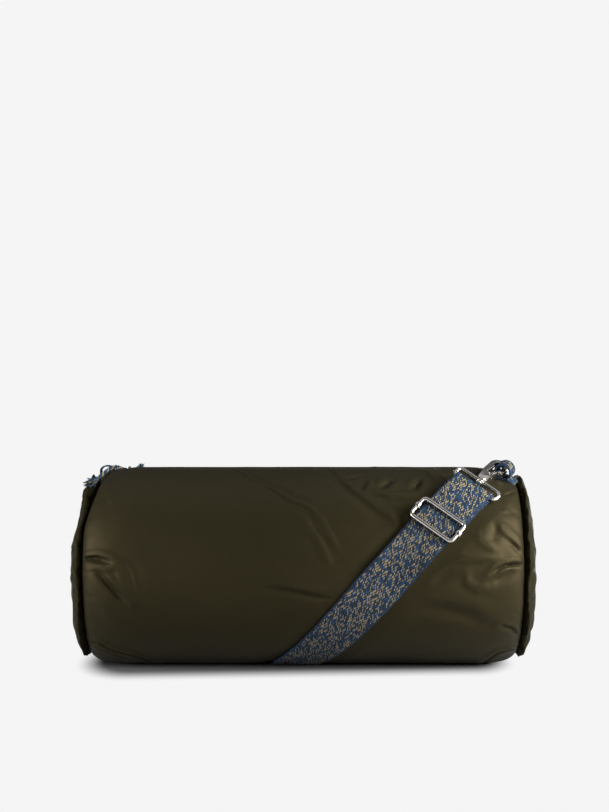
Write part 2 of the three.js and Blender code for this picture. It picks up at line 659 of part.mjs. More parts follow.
// End panel: a padded disc with a rounded rim, turned about the barrel's axis
function endPanel() {
  const inner = halfBody + CLEARANCE;
  const middle = inner + END_RIM_WIDTH / 2;
  const points = [new THREE.Vector2(0, inner), new THREE.Vector2(endSeamRadius, inner)];
  const RIM_STEPS = 5;
  for (let step = 1; step <= RIM_STEPS; step += 1) {
    const angle = -Math.PI / 2 + (Math.PI * step) / (RIM_STEPS + 1);
    const radius = endSeamRadius + (endRimRadius - endSeamRadius) * Math.cos(angle);
    points.push(new THREE.Vector2(radius, middle + (END_RIM_WIDTH / 2) * Math.sin(angle)));
  }
  points.push(new THREE.Vector2(endSeamRadius, inner + END_RIM_WIDTH));
  points.push(new THREE.Vector2(endSeamRadius / 2, inner + END_RIM_WIDTH + END_DOME * 0.75));
  points.push(new THREE.Vector2(0, inner + END_RIM_WIDTH + END_DOME));
  return subtract(turned(points).translate(0, 0, axisZ), tabSeat);
}

// Body panel and lining
function bodyPanel() {
  return subtract(
    barrelWall,
    mouthCut(halfMouth, MOUTH_WIDTH / 2, axisZ),
    mouthCut(halfZip + CLEARANCE, ZIP_SLOT_WIDTH / 2, axisZ),
    tapePocket,
    groove,
    tabSeat,
    tabSeat.clone().applyMatrix4(leftPlace));
}

function lining() {
  const inset = WALL + CLEARANCE;
  const inner = inset + LINING_THICKNESS;
  const outside = barrelSolid(inset, -CLEARANCE, inset);
  const inside = barrelSolid(inner, -CLEARANCE - LINING_THICKNESS, inner);
  const zipRoom = TAPE_HALF_WIDTH + 2 * CLEARANCE;
  return subtract(
    subtract(outside, inside),
    mouthCut(halfMouth, MOUTH_WIDTH / 2, axisZ),
    mouthCut(halfZip + 2 * CLEARANCE, zipRoom, axisZ));
}

// Mouth facing: the strip of padded wall between the mouth's long seam and the zip
function facing() {
  const strip = block(
    [CLEARANCE - halfMouth, halfMouth - CLEARANCE],
    [CLEARANCE - MOUTH_WIDTH / 2, -ZIP_SLOT_WIDTH / 2], [axisZ, far]);
  return intersect(barrelWall, strip);
}

const zipStrip = ([x0, x1], outer, [z0, z1]) => block([x0, x1], [-outer, -ZIP_SPLIT / 2], [z0, z1]);
const mouthSpan = [CLEARANCE - halfMouth, halfMouth - CLEARANCE];
const coilOuter = ZIP_SPLIT / 2 + COIL_WIDTH;
const tapeSpan = [tapeTop - TAPE_THICKNESS, tapeTop];

function mouthHalf(name) {
  const half = new THREE.Group();
  half.add(mesh(`${name}_facing`, facing(), nylon));
  half.add(mesh(`${name}_zip_tape`, zipStrip(mouthSpan, TAPE_HALF_WIDTH, tapeSpan), zipTape));
  half.add(mesh(`${name}_zip_coil`, zipStrip(mouthSpan, coilOuter, [coilBase, coilTop]), zipCoil));
  return half;
}

// The zip's fixed end: both tapes and coils, parted as far as a bar that joins them, and a stop on the bar
function zipEnd() {
  const inner = halfMouth + CLEARANCE;
  const barStart = halfZip - ZIP_END_BAR;
  const tape = block([inner, halfZip], [-TAPE_HALF_WIDTH, TAPE_HALF_WIDTH], tapeSpan);
  const coil = block([inner, barStart], [-coilOuter, coilOuter], [tapeSpan[0], coilTop]);
  const split = block([0, barStart], [-ZIP_SPLIT / 2, ZIP_SPLIT / 2], [axisZ, far]);
  return subtract(union(tape, coil), split);
}

function zipStop() {
  const outer = halfZip - (ZIP_END_BAR - STOP_LENGTH) / 2;
  return block([outer - STOP_LENGTH, outer], [-coilOuter, coilOuter], [coilBase, coilBase + STOP_HEIGHT]);
}

// Zip slider: two wings joined by a neck between the tapes, with a bridge for the cord
function zipSlider() {
  const half = SLIDER_WIDTH / 2;
  const neck = ZIP_SPLIT / 2 - CLEARANCE;
  const span = [sliderPlace - SLIDER_LENGTH / 2, sliderPlace + SLIDER_LENGTH / 2];
  const lowTop = tapeTop - TAPE_THICKNESS - CLEARANCE;
  const low = block(span, [-half, half], [lowTop - SLIDER_PLATE, lowTop]);
  const middle = block(span, [-neck, neck], [lowTop - SLIDER_PLATE / 2, sliderTop - SLIDER_PLATE / 2]);
  const top = block(span, [-half, half], [sliderTop - SLIDER_PLATE, sliderTop]);
  const reach = bridgeSpace / 2 + BRIDGE_WALL;
  const bridgeSpan = [sliderPlace - BRIDGE_LENGTH / 2, sliderPlace + BRIDGE_LENGTH / 2];
  const arch = block(
    bridgeSpan, [-reach, reach], [sliderTop - SLIDER_PLATE / 2, sliderTop + bridgeSpace + BRIDGE_WALL]);
  const tunnel = block(
    [bridgeSpan[0] - 1, bridgeSpan[1] + 1], [-bridgeSpace / 2, bridgeSpace / 2],
    [sliderTop, sliderTop + bridgeSpace]);
  return subtract(union(low, middle, top, arch), tunnel);
}

// Cord pull: through the slider's bridge, one short end to the right, one long end over the left shoulder
const cordZ = sliderTop + bridgeSpace / 2;
const cordRoute = [
  new THREE.Vector3(sliderPlace + 8, -0.8, cordZ + 1.2),
  new THREE.Vector3(sliderPlace + 4, 0, cordZ + 0.1),
  new THREE.Vector3(sliderPlace, 0, cordZ),
  new THREE.Vector3(sliderPlace - 5, 0, cordZ + 0.3),
  new THREE.Vector3(21 - halfBody, -3, topZ + 0.2),
  new THREE.Vector3(14 - halfBody, -9, topZ - 0.8),
  new THREE.Vector3(8 - halfBody, -17, topZ - 3.8),
  new THREE.Vector3(3 - halfBody, -26, topZ - 7.6),
  new THREE.Vector3(-halfBody, -32, topZ - 10),
];

function pullCord() {
  const ring = new THREE.Shape();
  const CORD_SIDES = 8;
  for (let i = 0; i < CORD_SIDES; i += 1) {
    const angle = (2 * Math.PI * i) / CORD_SIDES;
    const [x, y] = [Math.cos(angle), Math.sin(angle)].map((value) => (value * PULL_CORD_DIAMETER) / 2);
    if (i === 0) ring.moveTo(x, y);
    else ring.lineTo(x, y);
  }
  const path = new THREE.CatmullRomCurve3(cordRoute);
  return new THREE.ExtrudeGeometry(ring, { extrudePath: path, steps: 14, bevelEnabled: false });
}

function tassel(at, from, length) {
  const direction = at.clone().sub(from).normalize();
  const start = at.clone().addScaledVector(direction, CLEARANCE);
  const end = start.clone().addScaledVector(direction, length);
  return rod(start, end, PULL_CORD_DIAMETER / 2, TASSEL_RADIUS);
}

const LEFT_TASSEL_LENGTH = 11;
const RIGHT_TASSEL_LENGTH = 7;

// Adjuster: a wire frame over the strap and a loose bar under it, whose ends ring the frame's sides
const adjusterAt = bailFrom + ADJUSTER_DISTANCE * leanCos;
const frameHeight = STRAP_THICKNESS / 2 + CLEARANCE + WIRE / 2;
const adjusterPlace = strapPlace(adjusterAt, frameHeight);

function adjusterBar() {
  const side = wireWidth / 2;
  const depth = -frameHeight - barDepth;
  const radius = BAR_DIAMETER / 2;
  const ringInner = WIRE / 2 + 2 * CLEARANCE;
  const postX = STRAP_WIDTH / 2 + 2 * CLEARANCE + radius;
  const bar = rod(new THREE.Vector3(-postX, 0, depth), new THREE.Vector3(postX, 0, depth), radius);
  const pieces = [bar];
  const bores = [];
  for (const hand of [-1, 1]) {
    const low = new THREE.Vector3(hand * postX, 0, depth - radius);
    const high = new THREE.Vector3(hand * postX, 0, -ringInner - BAR_RING_WALL / 2);
    pieces.push(rod(low, high, radius));
    const ends = [-1, 1].map((end) => new THREE.Vector3(hand * side, (end * BAR_RING_LENGTH) / 2, 0));
    pieces.push(rod(...ends, ringInner + BAR_RING_WALL));
    const boreEnds = ends.map((end) => end.clone().setY(2 * end.y));
    bores.push(rod(...boreEnds, ringInner));
  }
  return subtract(union(...pieces), ...bores);
}

// The two ends of the bag, made of the same pieces
function endOfBag(side) {
  const end = new THREE.Group();
  end.add(mesh(`end_panel_${side}`, endPanel(), nylon));
  end.add(mesh(`tab_loop_${side}`, tabLoop(0, true), webbing));
  end.add(mesh(`strap_bail_${side}`, bail(), nickel));
  const hook = new THREE.Group();
  hook.applyMatrix4(hookPlace);
  hook.add(mesh(`hook_body_${side}`, hookBody(), nickel));
  hook.add(mesh(`gate_pin_${side}`, pinRod(PIN_RADIUS, HOOK_THICKNESS), nickel));
  hook.add(mesh(`gate_spring_${side}`, gateSpring(), nickel));
  hook.add(mesh(`hook_gate_${side}`, gate(), nickel));
  end.add(hook);
  return end;
}

function endOfZip(side) {
  const end = new THREE.Group();
  end.add(mesh(`zip_end_${side}`, zipEnd(), zipTape));
  end.add(mesh(`zip_stop_${side}`, zipStop(), nickel));
  return end;
}

const bag = new THREE.Group();
bag.add(mesh('body_panel', bodyPanel(), nylon));
bag.add(mesh('lining', lining(), liningCloth));

const rightEnd = endOfBag('right');
rightEnd.add(mesh('strap_fold_right', adjusterFold(), webbing));
const leftEnd = endOfBag('left');
leftEnd.add(mesh('strap_fold_left', sewnFold(), webbing));
leftEnd.applyMatrix4(leftPlace);
bag.add(rightEnd, leftEnd, strap);

const leftZipEnd = endOfZip('left');
leftZipEnd.rotation.z = Math.PI;
bag.add(endOfZip('right'), leftZipEnd);

const frontHalf = mouthHalf('front');
const rearHalf = mouthHalf('rear');
rearHalf.rotation.z = Math.PI;
bag.add(frontHalf, rearHalf);

bag.add(mesh('zip_slider', zipSlider(), nickel));
bag.add(mesh('pull_cord', pullCord(), cordYarn));
bag.add(mesh('pull_tassel_left', tassel(cordRoute.at(-1), cordRoute.at(-2), LEFT_TASSEL_LENGTH), cordYarn));
bag.add(mesh('pull_tassel_right', tassel(cordRoute[0], cordRoute[1], RIGHT_TASSEL_LENGTH), cordYarn));

const adjuster = new THREE.Group();
adjuster.applyMatrix4(adjusterPlace);
adjuster.add(mesh('adjuster_frame', wireFrame(wireWidth, ADJUSTER_DEPTH), nickel));
adjuster.add(mesh('adjuster_bar', adjusterBar(), nickel));
bag.add(adjuster);

export default bag;
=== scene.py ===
# %% [markdown]
# # A padded barrel bag with a woven strap
# This lesson dresses a imported CAD model of a small barrel-shaped shoulder bag: dark olive padded nylon, a zipped top,
# and a blue and gold webbing strap on polished hooks. The CAD model is loaded as a frame that nothing here moves.
# Every piece made below sits in that frame, in metres, and most of them ride on one of its bodies.

import bisect
import math
import random

import bmesh
import bpy
import numpy as np
from mathutils import Matrix, Vector, noise
from mathutils.bvhtree import BVHTree


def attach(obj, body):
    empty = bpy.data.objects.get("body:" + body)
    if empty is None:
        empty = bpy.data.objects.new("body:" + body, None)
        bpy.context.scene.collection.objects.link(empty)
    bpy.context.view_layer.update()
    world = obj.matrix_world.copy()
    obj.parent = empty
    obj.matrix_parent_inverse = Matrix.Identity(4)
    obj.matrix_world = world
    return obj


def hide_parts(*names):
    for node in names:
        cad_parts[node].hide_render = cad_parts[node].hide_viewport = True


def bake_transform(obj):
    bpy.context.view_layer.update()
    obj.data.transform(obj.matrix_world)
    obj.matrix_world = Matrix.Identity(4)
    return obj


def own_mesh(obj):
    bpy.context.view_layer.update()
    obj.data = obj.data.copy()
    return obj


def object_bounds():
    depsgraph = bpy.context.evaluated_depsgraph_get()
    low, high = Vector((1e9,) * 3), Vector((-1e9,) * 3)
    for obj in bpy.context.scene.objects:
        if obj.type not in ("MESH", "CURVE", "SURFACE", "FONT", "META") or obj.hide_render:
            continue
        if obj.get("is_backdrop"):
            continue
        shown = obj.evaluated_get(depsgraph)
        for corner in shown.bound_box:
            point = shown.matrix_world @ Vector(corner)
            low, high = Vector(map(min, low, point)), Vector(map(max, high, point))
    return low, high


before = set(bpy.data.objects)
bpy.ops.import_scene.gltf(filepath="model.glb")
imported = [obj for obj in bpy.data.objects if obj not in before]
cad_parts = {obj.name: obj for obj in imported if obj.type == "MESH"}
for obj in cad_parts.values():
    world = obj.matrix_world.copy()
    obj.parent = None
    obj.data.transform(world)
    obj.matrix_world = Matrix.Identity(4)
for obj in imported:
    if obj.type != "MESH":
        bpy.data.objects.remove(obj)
cad_box = [list(corner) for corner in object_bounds()]
MM = 0.001
print("CAD box", [[round(value, 4) for value in corner] for corner in cad_box])

# %% [markdown]
# ## Writing shaders as sums
# A material is a small network of nodes. Placing nodes one by one hides the idea, so a socket is wrapped in a class
# that knows arithmetic: `1 - mask` then adds a Math node by itself. All other nodes come from one method, `node`.

# %% Shader helpers
class Value:
    def __init__(self, shade, socket):
        self.shade = shade
        self.socket = socket

    def math(self, operation, *rest):
        return self.shade.node("ShaderNodeMath", {"operation": operation}, [self, *rest])

    def __add__(self, other):
        return self.math("ADD", other)

    def __sub__(self, other):
        return self.math("SUBTRACT", other)

    def __rsub__(self, other):
        return self.shade.node("ShaderNodeMath", {"operation": "SUBTRACT"}, [other, self])

    def __mul__(self, other):
        return self.math("MULTIPLY", other)

    def __truediv__(self, other):
        return self.math("DIVIDE", other)

    def __lt__(self, other):
        return self.math("LESS_THAN", other)

    __radd__ = __add__


class Shade:
    def __init__(self, name):
        self.material = bpy.data.materials.new(name)
        self.material.use_nodes = True
        self.tree = self.material.node_tree
        self.shader = self.tree.nodes["Principled BSDF"]

    def node(self, kind, settings=None, inputs=(), output=0):
        made = self.tree.nodes.new(kind)
        for name, value in (settings or {}).items():
            setattr(made, name, value)
        pairs = inputs.items() if isinstance(inputs, dict) else enumerate(inputs)
        for key, value in pairs:
            self.feed(made.inputs[key], value)
        return Value(self, made.outputs[output])

    def feed(self, socket, value):
        if isinstance(value, Value):
            self.tree.links.new(value.socket, socket)
        else:
            socket.default_value = value

    def coordinates(self, kind):
        place = self.node("ShaderNodeTexCoord", output=kind)
        return place, *[self.node("ShaderNodeSeparateXYZ", {}, [place], axis) for axis in "XY"]

    def mix(self, factor, a, b):
        return self.node("ShaderNodeMix", {"data_type": "RGBA"}, {0: factor, 6: a, 7: b}, 2)

    def noise(self, place, scale, detail=2.0):
        return self.node("ShaderNodeTexNoise", {}, {"Vector": place, "Scale": scale, "Detail": detail})

    def finish(self, **sockets):
        for name, value in sockets.items():
            self.feed(self.shader.inputs[name.replace("_", " ")], value)
        return self.material

    def bump(self, height, distance, strength=1.0):
        return self.node(
            "ShaderNodeBump", {}, {"Strength": strength, "Distance": distance, "Height": height})


def linear(red, green, blue):
    channels = [value / 255 for value in (red, green, blue)]
    return (*[((c + 0.055) / 1.055) ** 2.4 if c > 0.04 else c / 12.92 for c in channels], 1.0)


# %% [markdown]
# ## Nylon, lining and zip tape
# The shell is a tight plain-weave nylon with a satin face. Close up it is a fine grid of threads; from a step back it
# is a soft sheen over slow changes of tone. The grid is two sets of bands on the UV map, which is laid out in metres,
# and the slow changes are noise. The lining and the zip tape also get a little sheen, the pale edge of brushed cloth.

# %% Cloth materials
def woven_cloth(name, color, pale, glint, thread, roughness, gloss, sheen, drift):
    shade = Shade(name)
    _, u, v = shade.coordinates("UV")
    place = shade.node("ShaderNodeTexCoord", output="Object")
    turn = 2 * math.pi / thread
    weft = (u * turn).math("SINE")
    warp = (v * turn).math("SINE")
    weave = (weft * warp) * 0.5 + 0.5
    cloud = shade.noise(place, 9.0, 3.0)
    fibre = shade.noise(place, 420.0, 2.0)
    # The weave grid also lightens and darkens the tone a little with its own bump: painted shade between the threads.
    # The cloud and fibre noise are random tone.
    tone = (cloud - 0.5) * drift + (fibre - 0.5) * 0.25 + weave * 0.12 + 0.38
    shade.shader.inputs["Specular IOR Level"].default_value = gloss
    shade.shader.inputs["Specular Tint"].default_value = glint
    shade.shader.inputs["Sheen Weight"].default_value = sheen
    shade.shader.inputs["Sheen Roughness"].default_value = 0.45
    shade.shader.inputs["Sheen Tint"].default_value = pale
    ripple = shade.noise(place, 70.0, 3.0)
    rough = roughness + (cloud - 0.5) * 0.1
    height = weave * 0.25 + ripple * 0.75
    return shade.finish(
        Base_Color=shade.mix(tone, color, pale), Roughness=rough,
        Normal=shade.bump(height, 0.0006, 0.35))


nylon = woven_cloth(
    "olive_nylon", linear(32, 30, 18), linear(52, 47, 31), linear(214, 188, 138), 0.0007, 0.42, 0.24, 0.0, 0.5)
# A duller copy of the nylon for the end discs; its darker colour is painted shade on the ends.
shaded_end_nylon = woven_cloth(
    "shaded_end_nylon", linear(27, 25, 15), linear(45, 41, 27), linear(214, 188, 138), 0.0007, 0.55, 0.06, 0.0, 0.5)
lining_cloth = woven_cloth(
    "lining_twill", linear(46, 44, 40), linear(72, 69, 63), linear(220, 215, 205), 0.0009, 0.75, 0.3, 0.06, 0.6)
zip_cloth = woven_cloth(
    "zip_tape_weave", linear(34, 31, 22), linear(56, 51, 38), linear(214, 196, 160), 0.0012, 0.7, 0.3, 0.06, 0.4)

print("cloths:", [material.name for material in (nylon, shaded_end_nylon, lining_cloth, zip_cloth)])

# %% [markdown]
# ## Webbing
# The strap is woven from blue cotton with a gold thread that surfaces as short slanting dashes. The UV map is laid out
# in metres across and along, so the weave can be drawn as cells: columns a thread wide, cut into stitches whose
# starts step from column to column. White noise picks the cells where gold shows. The selvedges stay plain blue.

# %% Webbing and cord materials
def webbing_weave(name, width, gold_share):
    shade = Shade(name)
    uv, u, v = shade.coordinates("UV")
    place = shade.node("ShaderNodeTexCoord", output="Object")
    thread, stitch, slant, selvedge = 0.0009, 0.0029, 0.4, 0.0014
    wander = (shade.noise(uv, 420.0, 1.0) - 0.5) * 0.0002
    across = (u - v * slant + wander) / thread + 900.0
    column = across.math("FLOOR")
    in_column = across - column
    along = v / stitch + column * 0.37 + (shade.noise(uv, 150.0, 1.0) - 0.5) * 0.5
    row = along.math("FLOOR")
    in_row = along - row
    cell = shade.node("ShaderNodeCombineXYZ", {}, [column, row, 0.0])
    pick = shade.node("ShaderNodeTexWhiteNoise", {"noise_dimensions": "2D"}, {"Vector": cell})
    patch = shade.noise(uv, 95.0, 2.0)
    side = (in_column - 0.5).math("ABSOLUTE") * 2.0
    end = (in_row - 0.5).math("ABSOLUTE") * 2.0
    dome = (1.0 - side * side) * (1.0 - end * end * end)
    inside = u.math("ABSOLUTE") < width / 2 - selvedge
    gold = (pick < (patch - 0.5) * 0.2 + gold_share) * inside * (side < 0.56) * (end < 0.68)
    shift = shade.node("ShaderNodeCombineXYZ", {}, [column + 0.5, row + 31.5, 0.0])
    fleck = shade.node("ShaderNodeTexWhiteNoise", {"noise_dimensions": "2D"}, {"Vector": shift})
    deep = shade.mix(fleck * fleck, linear(2, 27, 52), linear(25, 81, 124))
    # Each stitch is painted darker towards its sides and ends, near black at its edges: painted shade between the
    # threads.
    shaded = shade.mix(dome * 0.9 + 0.1, linear(3, 14, 26), deep)
    pale = shade.mix(pick * 1.8, linear(150, 131, 83), linear(203, 188, 141))
    fuzz = shade.noise(place, 1500.0, 2.0)
    return shade.finish(
        Base_Color=shade.mix(gold, shaded, pale), Roughness=0.86 - gold * 0.28,
        Normal=shade.bump(dome + fuzz * 0.3 + gold * 0.2, 0.0004, 0.7))


def twisted_yarn(name, color, pale):
    shade = Shade(name)
    uv, u, v = shade.coordinates("UV")
    strand = ((u * 5.0 + v * 900.0) * (2 * math.pi)).math("SINE") * 0.5 + 0.5
    speck = shade.noise(uv, 240.0, 2.0)
    # The colour follows the twist, paler on each strand's crest and darker in the grooves: painted shade. The specks
    # are random tone.
    tone = strand * 0.6 + (speck - 0.5) * 0.8 + 0.15
    return shade.finish(
        Base_Color=shade.mix(tone, color, pale), Roughness=0.88, Normal=shade.bump(strand, 0.0002, 0.6))


webbing = webbing_weave("strap_webbing_weave", 0.040, 0.37)
tab_tape = webbing_weave("tab_tape_weave", 0.011, 0.34)
blue_yarn = twisted_yarn("blue_yarn", linear(20, 46, 72), linear(58, 104, 142))
thread = twisted_yarn("olive_thread", linear(44, 40, 27), linear(84, 76, 54))
gold_yarn = twisted_yarn("gold_yarn", linear(132, 112, 66), linear(216, 196, 148))

print("webbing and yarns:", [material.name for material in (webbing, tab_tape, blue_yarn, thread, gold_yarn)])

# %% [markdown]
# ## Polished fittings
# The hooks, bails and adjuster are nickel-plated wire and castings: bright, with the faint cloudiness and hairlines of
# handled plating. The zip's coil is a smooth dark monofilament.

# %% Metal and coil materials
def plated(name, color, roughness):
    shade = Shade(name)
    place = shade.node("ShaderNodeTexCoord", output="Object")
    cloud = shade.noise(place, 130.0, 3.0)
    stretched = shade.node("ShaderNodeMapping", {}, {"Vector": place, "Scale": (1.0, 9.0, 1.0)})
    hairline = shade.noise(stretched, 900.0, 1.0)
    rough = roughness + (cloud - 0.5) * 0.14 + (hairline - 0.5) * 0.08
    tone = shade.mix(cloud, color, linear(240, 236, 230))
    return shade.finish(
        Base_Color=tone, Metallic=1.0, Roughness=rough, Normal=shade.bump(hairline, 0.00002, 0.3))


def coil_plastic(name):
    shade = Shade(name)
    place = shade.node("ShaderNodeTexCoord", output="Object")
    speck = shade.noise(place, 600.0, 2.0)
    tone = shade.mix(speck, linear(28, 26, 20), linear(54, 50, 40))
    return shade.finish(Base_Color=tone, Roughness=0.36 + speck * 0.12, Normal=shade.bump(speck, 0.00003, 0.4))


nickel = plated("polished_nickel", linear(226, 221, 214), 0.2)
coil = coil_plastic("zip_coil")
print("materials:", [material.name for material in bpy.data.materials])

# %% [markdown]
# ## Camera and floor
# The photo looks at the bag square from the front with a long lens, a little above its top. The floor is a pale sweep
# that takes the bag's shadow. Close to the bag the camera sees it in a darker grey than the one that bounces light,
# which deepens that shadow. Further out it fades into the same flat white as the backdrop, for the camera and for
# reflections only.

# %% Camera and stage
camera = bpy.data.objects.new("camera", bpy.data.cameras.new("camera"))
bpy.context.scene.collection.objects.link(camera)
camera.location = (0.001, -1.5, 0.237)
camera.rotation_euler = (math.pi / 2, 0, 0)
camera.data.lens = 71.0
camera.data.sensor_width = 36.0
camera.data.sensor_fit = "AUTO"
bpy.context.scene.camera = camera
bpy.context.scene.view_settings.view_transform = "Standard"

BACKDROP = linear(245, 245, 245)
FLOOR_SEEN, FLOOR_BOUNCE = linear(100, 100, 100), linear(172, 172, 172)
SEEN_FADE, REFLECTED_FADE = (0.05, 0.11), (0.12, 0.6)
SHADOW_HALF, END_STRETCH, SIDE_LEAN = 0.155, 2.2, 0.08


def floor_sweep():
    shade = Shade("floor_sweep")
    _, x, y = shade.coordinates("Object")
    past_end = (x.math("ABSOLUTE") - SHADOW_HALF).math("MAXIMUM", 0.0) * END_STRETCH
    distance = (past_end * past_end + y * y).math("SQRT") + x * SIDE_LEAN

    def whiter_from(near, far):
        return shade.node(
            "ShaderNodeMapRange", {"interpolation_type": "SMOOTHSTEP"},
            {"Value": distance, "From Min": near, "From Max": far})

    path = shade.tree.nodes.new("ShaderNodeLightPath")
    seen, glossy, through = [
        Value(shade, path.outputs[f"Is {kind} Ray"]) for kind in ("Camera", "Glossy", "Transmission")]
    shade.finish(Base_Color=shade.mix(seen, FLOOR_BOUNCE, FLOOR_SEEN), Roughness=0.9)
    shade.shader.inputs["Specular IOR Level"].default_value = 0.1
    glow = shade.tree.nodes.new("ShaderNodeEmission")
    glow.inputs["Color"].default_value = BACKDROP
    blend = shade.tree.nodes.new("ShaderNodeMixShader")
    reflected = (glossy + through).math("MINIMUM", 1.0)
    white = whiter_from(*SEEN_FADE) * seen + whiter_from(*REFLECTED_FADE) * reflected
    shade.feed(blend.inputs[0], white.math("MINIMUM", 1.0))
    shade.tree.links.new(shade.shader.outputs[0], blend.inputs[1])
    shade.tree.links.new(glow.outputs[0], blend.inputs[2])
    shade.tree.links.new(blend.outputs[0], shade.tree.nodes["Material Output"].inputs["Surface"])
    return shade.material


def new_piece(name, bm, materials):
    mesh = bpy.data.meshes.new(name)
    bm.to_mesh(mesh)
    bm.free()
    piece = bpy.data.objects.new(name, mesh)
    bpy.context.scene.collection.objects.link(piece)
    for material in materials:
        mesh.materials.append(material)
    mesh.polygons.foreach_set("use_smooth", [True] * len(mesh.polygons))
    return piece


ground = bmesh.new()
bmesh.ops.create_grid(ground, x_segments=1, y_segments=1, size=4.0)
bmesh.ops.translate(ground, vec=(0, 0, -0.0004), verts=ground.verts)
floor = new_piece("floor", ground, [floor_sweep()])
floor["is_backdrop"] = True
print("camera at", [round(value, 3) for value in camera.location], "with a lens of", camera.data.lens, "mm")

# %% [markdown]
# ## Light
# The world gives a weak even fill and shows the camera a flat white. A broad lamp on the right is the key, a weaker one
# on the left lifts the other end, a large one overhead gives the short shadow under the barrel, and one behind lights
# the back.

# %% World and lamps
world = bpy.data.worlds.new("studio")
bpy.context.scene.world = world
world.use_nodes = True
sky = world.node_tree
path = sky.nodes.new("ShaderNodeLightPath")
fill = sky.nodes["Background"]
fill.inputs["Color"].default_value = (1.0, 1.0, 1.0, 1.0)
fill.inputs["Strength"].default_value = 0.1
white = sky.nodes.new("ShaderNodeBackground")
white.inputs["Color"].default_value = BACKDROP
choose = sky.nodes.new("ShaderNodeMixShader")
sky.links.new(path.outputs["Is Camera Ray"], choose.inputs[0])
sky.links.new(fill.outputs[0], choose.inputs[1])
sky.links.new(white.outputs[0], choose.inputs[2])
sky.links.new(choose.outputs[0], sky.nodes["World Output"].inputs["Surface"])


def softbox(name, place, aim, width, height, power):
    lamp = bpy.data.lights.new(name, "AREA")
    lamp.shape = "RECTANGLE"
    lamp.size = width
    lamp.size_y = height
    lamp.energy = power
    box = bpy.data.objects.new(name, lamp)
    box.location = place
    box.rotation_euler = (Vector(aim) - Vector(place)).to_track_quat("-Z", "Y").to_euler()
    bpy.context.scene.collection.objects.link(box)


LAMPS = [
    ("key_right", (0.48, -0.28, 0.28), (0.17, 0.0, 0.09), 0.28, 0.3, 5.1),
    ("fill_left", (-0.45, -0.25, 0.2), (-0.18, 0.0, 0.09), 0.2, 0.3, 1.7),
    ("overhead", (0.0, 0.1, 1.5), (0.0, 0.0, 0.0), 1.5, 1.1, 2.2),
    ("behind", (0.2, 0.85, 0.13), (0.0, 0.0, 0.09), 0.8, 0.2, 5.0)]
for lamp in LAMPS:
    softbox(*lamp)
print("lamps:", [lamp.name for lamp in bpy.data.lights])

# %% [markdown]
# ## The strap's route
# The strap is one long ribbon. Its line is laid first in side view: from the right bail down the front of the barrel,
# under the base, out behind, folded back on itself, and up the rear to the left bail. The slant along the barrel is
# added to that, so that a point of the ribbon is found from three numbers: the distance along the line, the height off
# it, and the place across the width. The numbers are those of the CAD model, in millimetres.

# %% Route of the strap
BARREL_RADIUS = 92.0
AXIS_Z = 88.0
HALF_BODY = 196.0
CLEARANCE = 0.3
FOLD_GAP = 0.6
STRAP_WIDTH = 40.0
STRAP_THICKNESS = 1.6
STRAP_LEAN = math.radians(41)
WIRE = 3.0
BAR_DIAMETER = 2.2
BAIL_X = 153.3
BAIL_ANGLE = 50.6
ROUTE_TOP = 62.0
LEFT_DROP = 14.0
STORE_REACH = 168.0
ADJUSTER_DISTANCE = 53.0
OUT_FOLD, INNER_TURN = 2.0, 3.0
ROUTE_STEP = 0.5
EASE_LENGTH = 95.0
LOW_STEEPENING = 0.24
FLAT_LENGTH, TWIST_LENGTH = 70.0, 60.0

strap_seat = BARREL_RADIUS + CLEARANCE + STRAP_THICKNESS / 2
bar_wrap = BAR_DIAMETER / 2 + FOLD_GAP + STRAP_THICKNESS / 2
bail_wrap = WIRE / 2 + FOLD_GAP + STRAP_THICKNESS / 2
wrap_top = STRAP_THICKNESS + CLEARANCE
bar_depth = wrap_top + bar_wrap
wrap_low = wrap_top + 2 * bar_wrap
strap_lift = wrap_low + STRAP_THICKNESS
lean_slope, lean_cos = math.tan(STRAP_LEAN), math.cos(STRAP_LEAN)


def ease(low, high, value):
    share = min(max((value - low) / (high - low), 0.0), 1.0)
    return share * share * (3 - 2 * share)


def route_in_side_view():
    points = []

    def on_barrel(degrees, side, drop):
        radius = strap_seat + strap_lift * ease(-5.0, 22.0, degrees + drop)
        angle = math.radians(degrees)
        points.append(Vector((side * radius * math.cos(angle), AXIS_Z + radius * math.sin(angle))))

    def arc(y, z, radius, start, stop):
        count = math.ceil(abs(math.radians(stop - start)) * radius / ROUTE_STEP)
        for i in range(count + 1):
            angle = math.radians(start + (stop - start) * i / count)
            points.append(Vector((y + radius * math.cos(angle), z + radius * math.sin(angle))))

    floor_z = STRAP_THICKNESS / 2
    contact = -math.degrees(math.asin((AXIS_Z - floor_z) / strap_seat))
    turn_z = floor_z + 2 * OUT_FOLD + INNER_TURN
    turn_y = math.sqrt((strap_seat + INNER_TURN) ** 2 - (AXIS_Z - turn_z) ** 2)
    climb = -math.degrees(math.atan2(AXIS_Z - turn_z, turn_y))
    step = math.degrees(ROUTE_STEP / strap_seat)
    degrees = ROUTE_TOP
    while degrees > contact:
        on_barrel(degrees, -1, 0.0)
        degrees -= step
    floor_start = len(points) - 1
    arc(STORE_REACH, floor_z + OUT_FOLD, OUT_FOLD, -90, 90)
    arc(turn_y, turn_z, INNER_TURN, 270, 180 + climb)
    climb_start = len(points)
    degrees = climb
    while degrees < ROUTE_TOP - LEFT_DROP:
        on_barrel(degrees, 1, LEFT_DROP)
        degrees += step
    return points, floor_start, climb_start


def run_along(line):
    run = [0.0]
    for before, after in zip(line, line[1:]):
        run.append(run[-1] + math.dist(before, after))
    return run


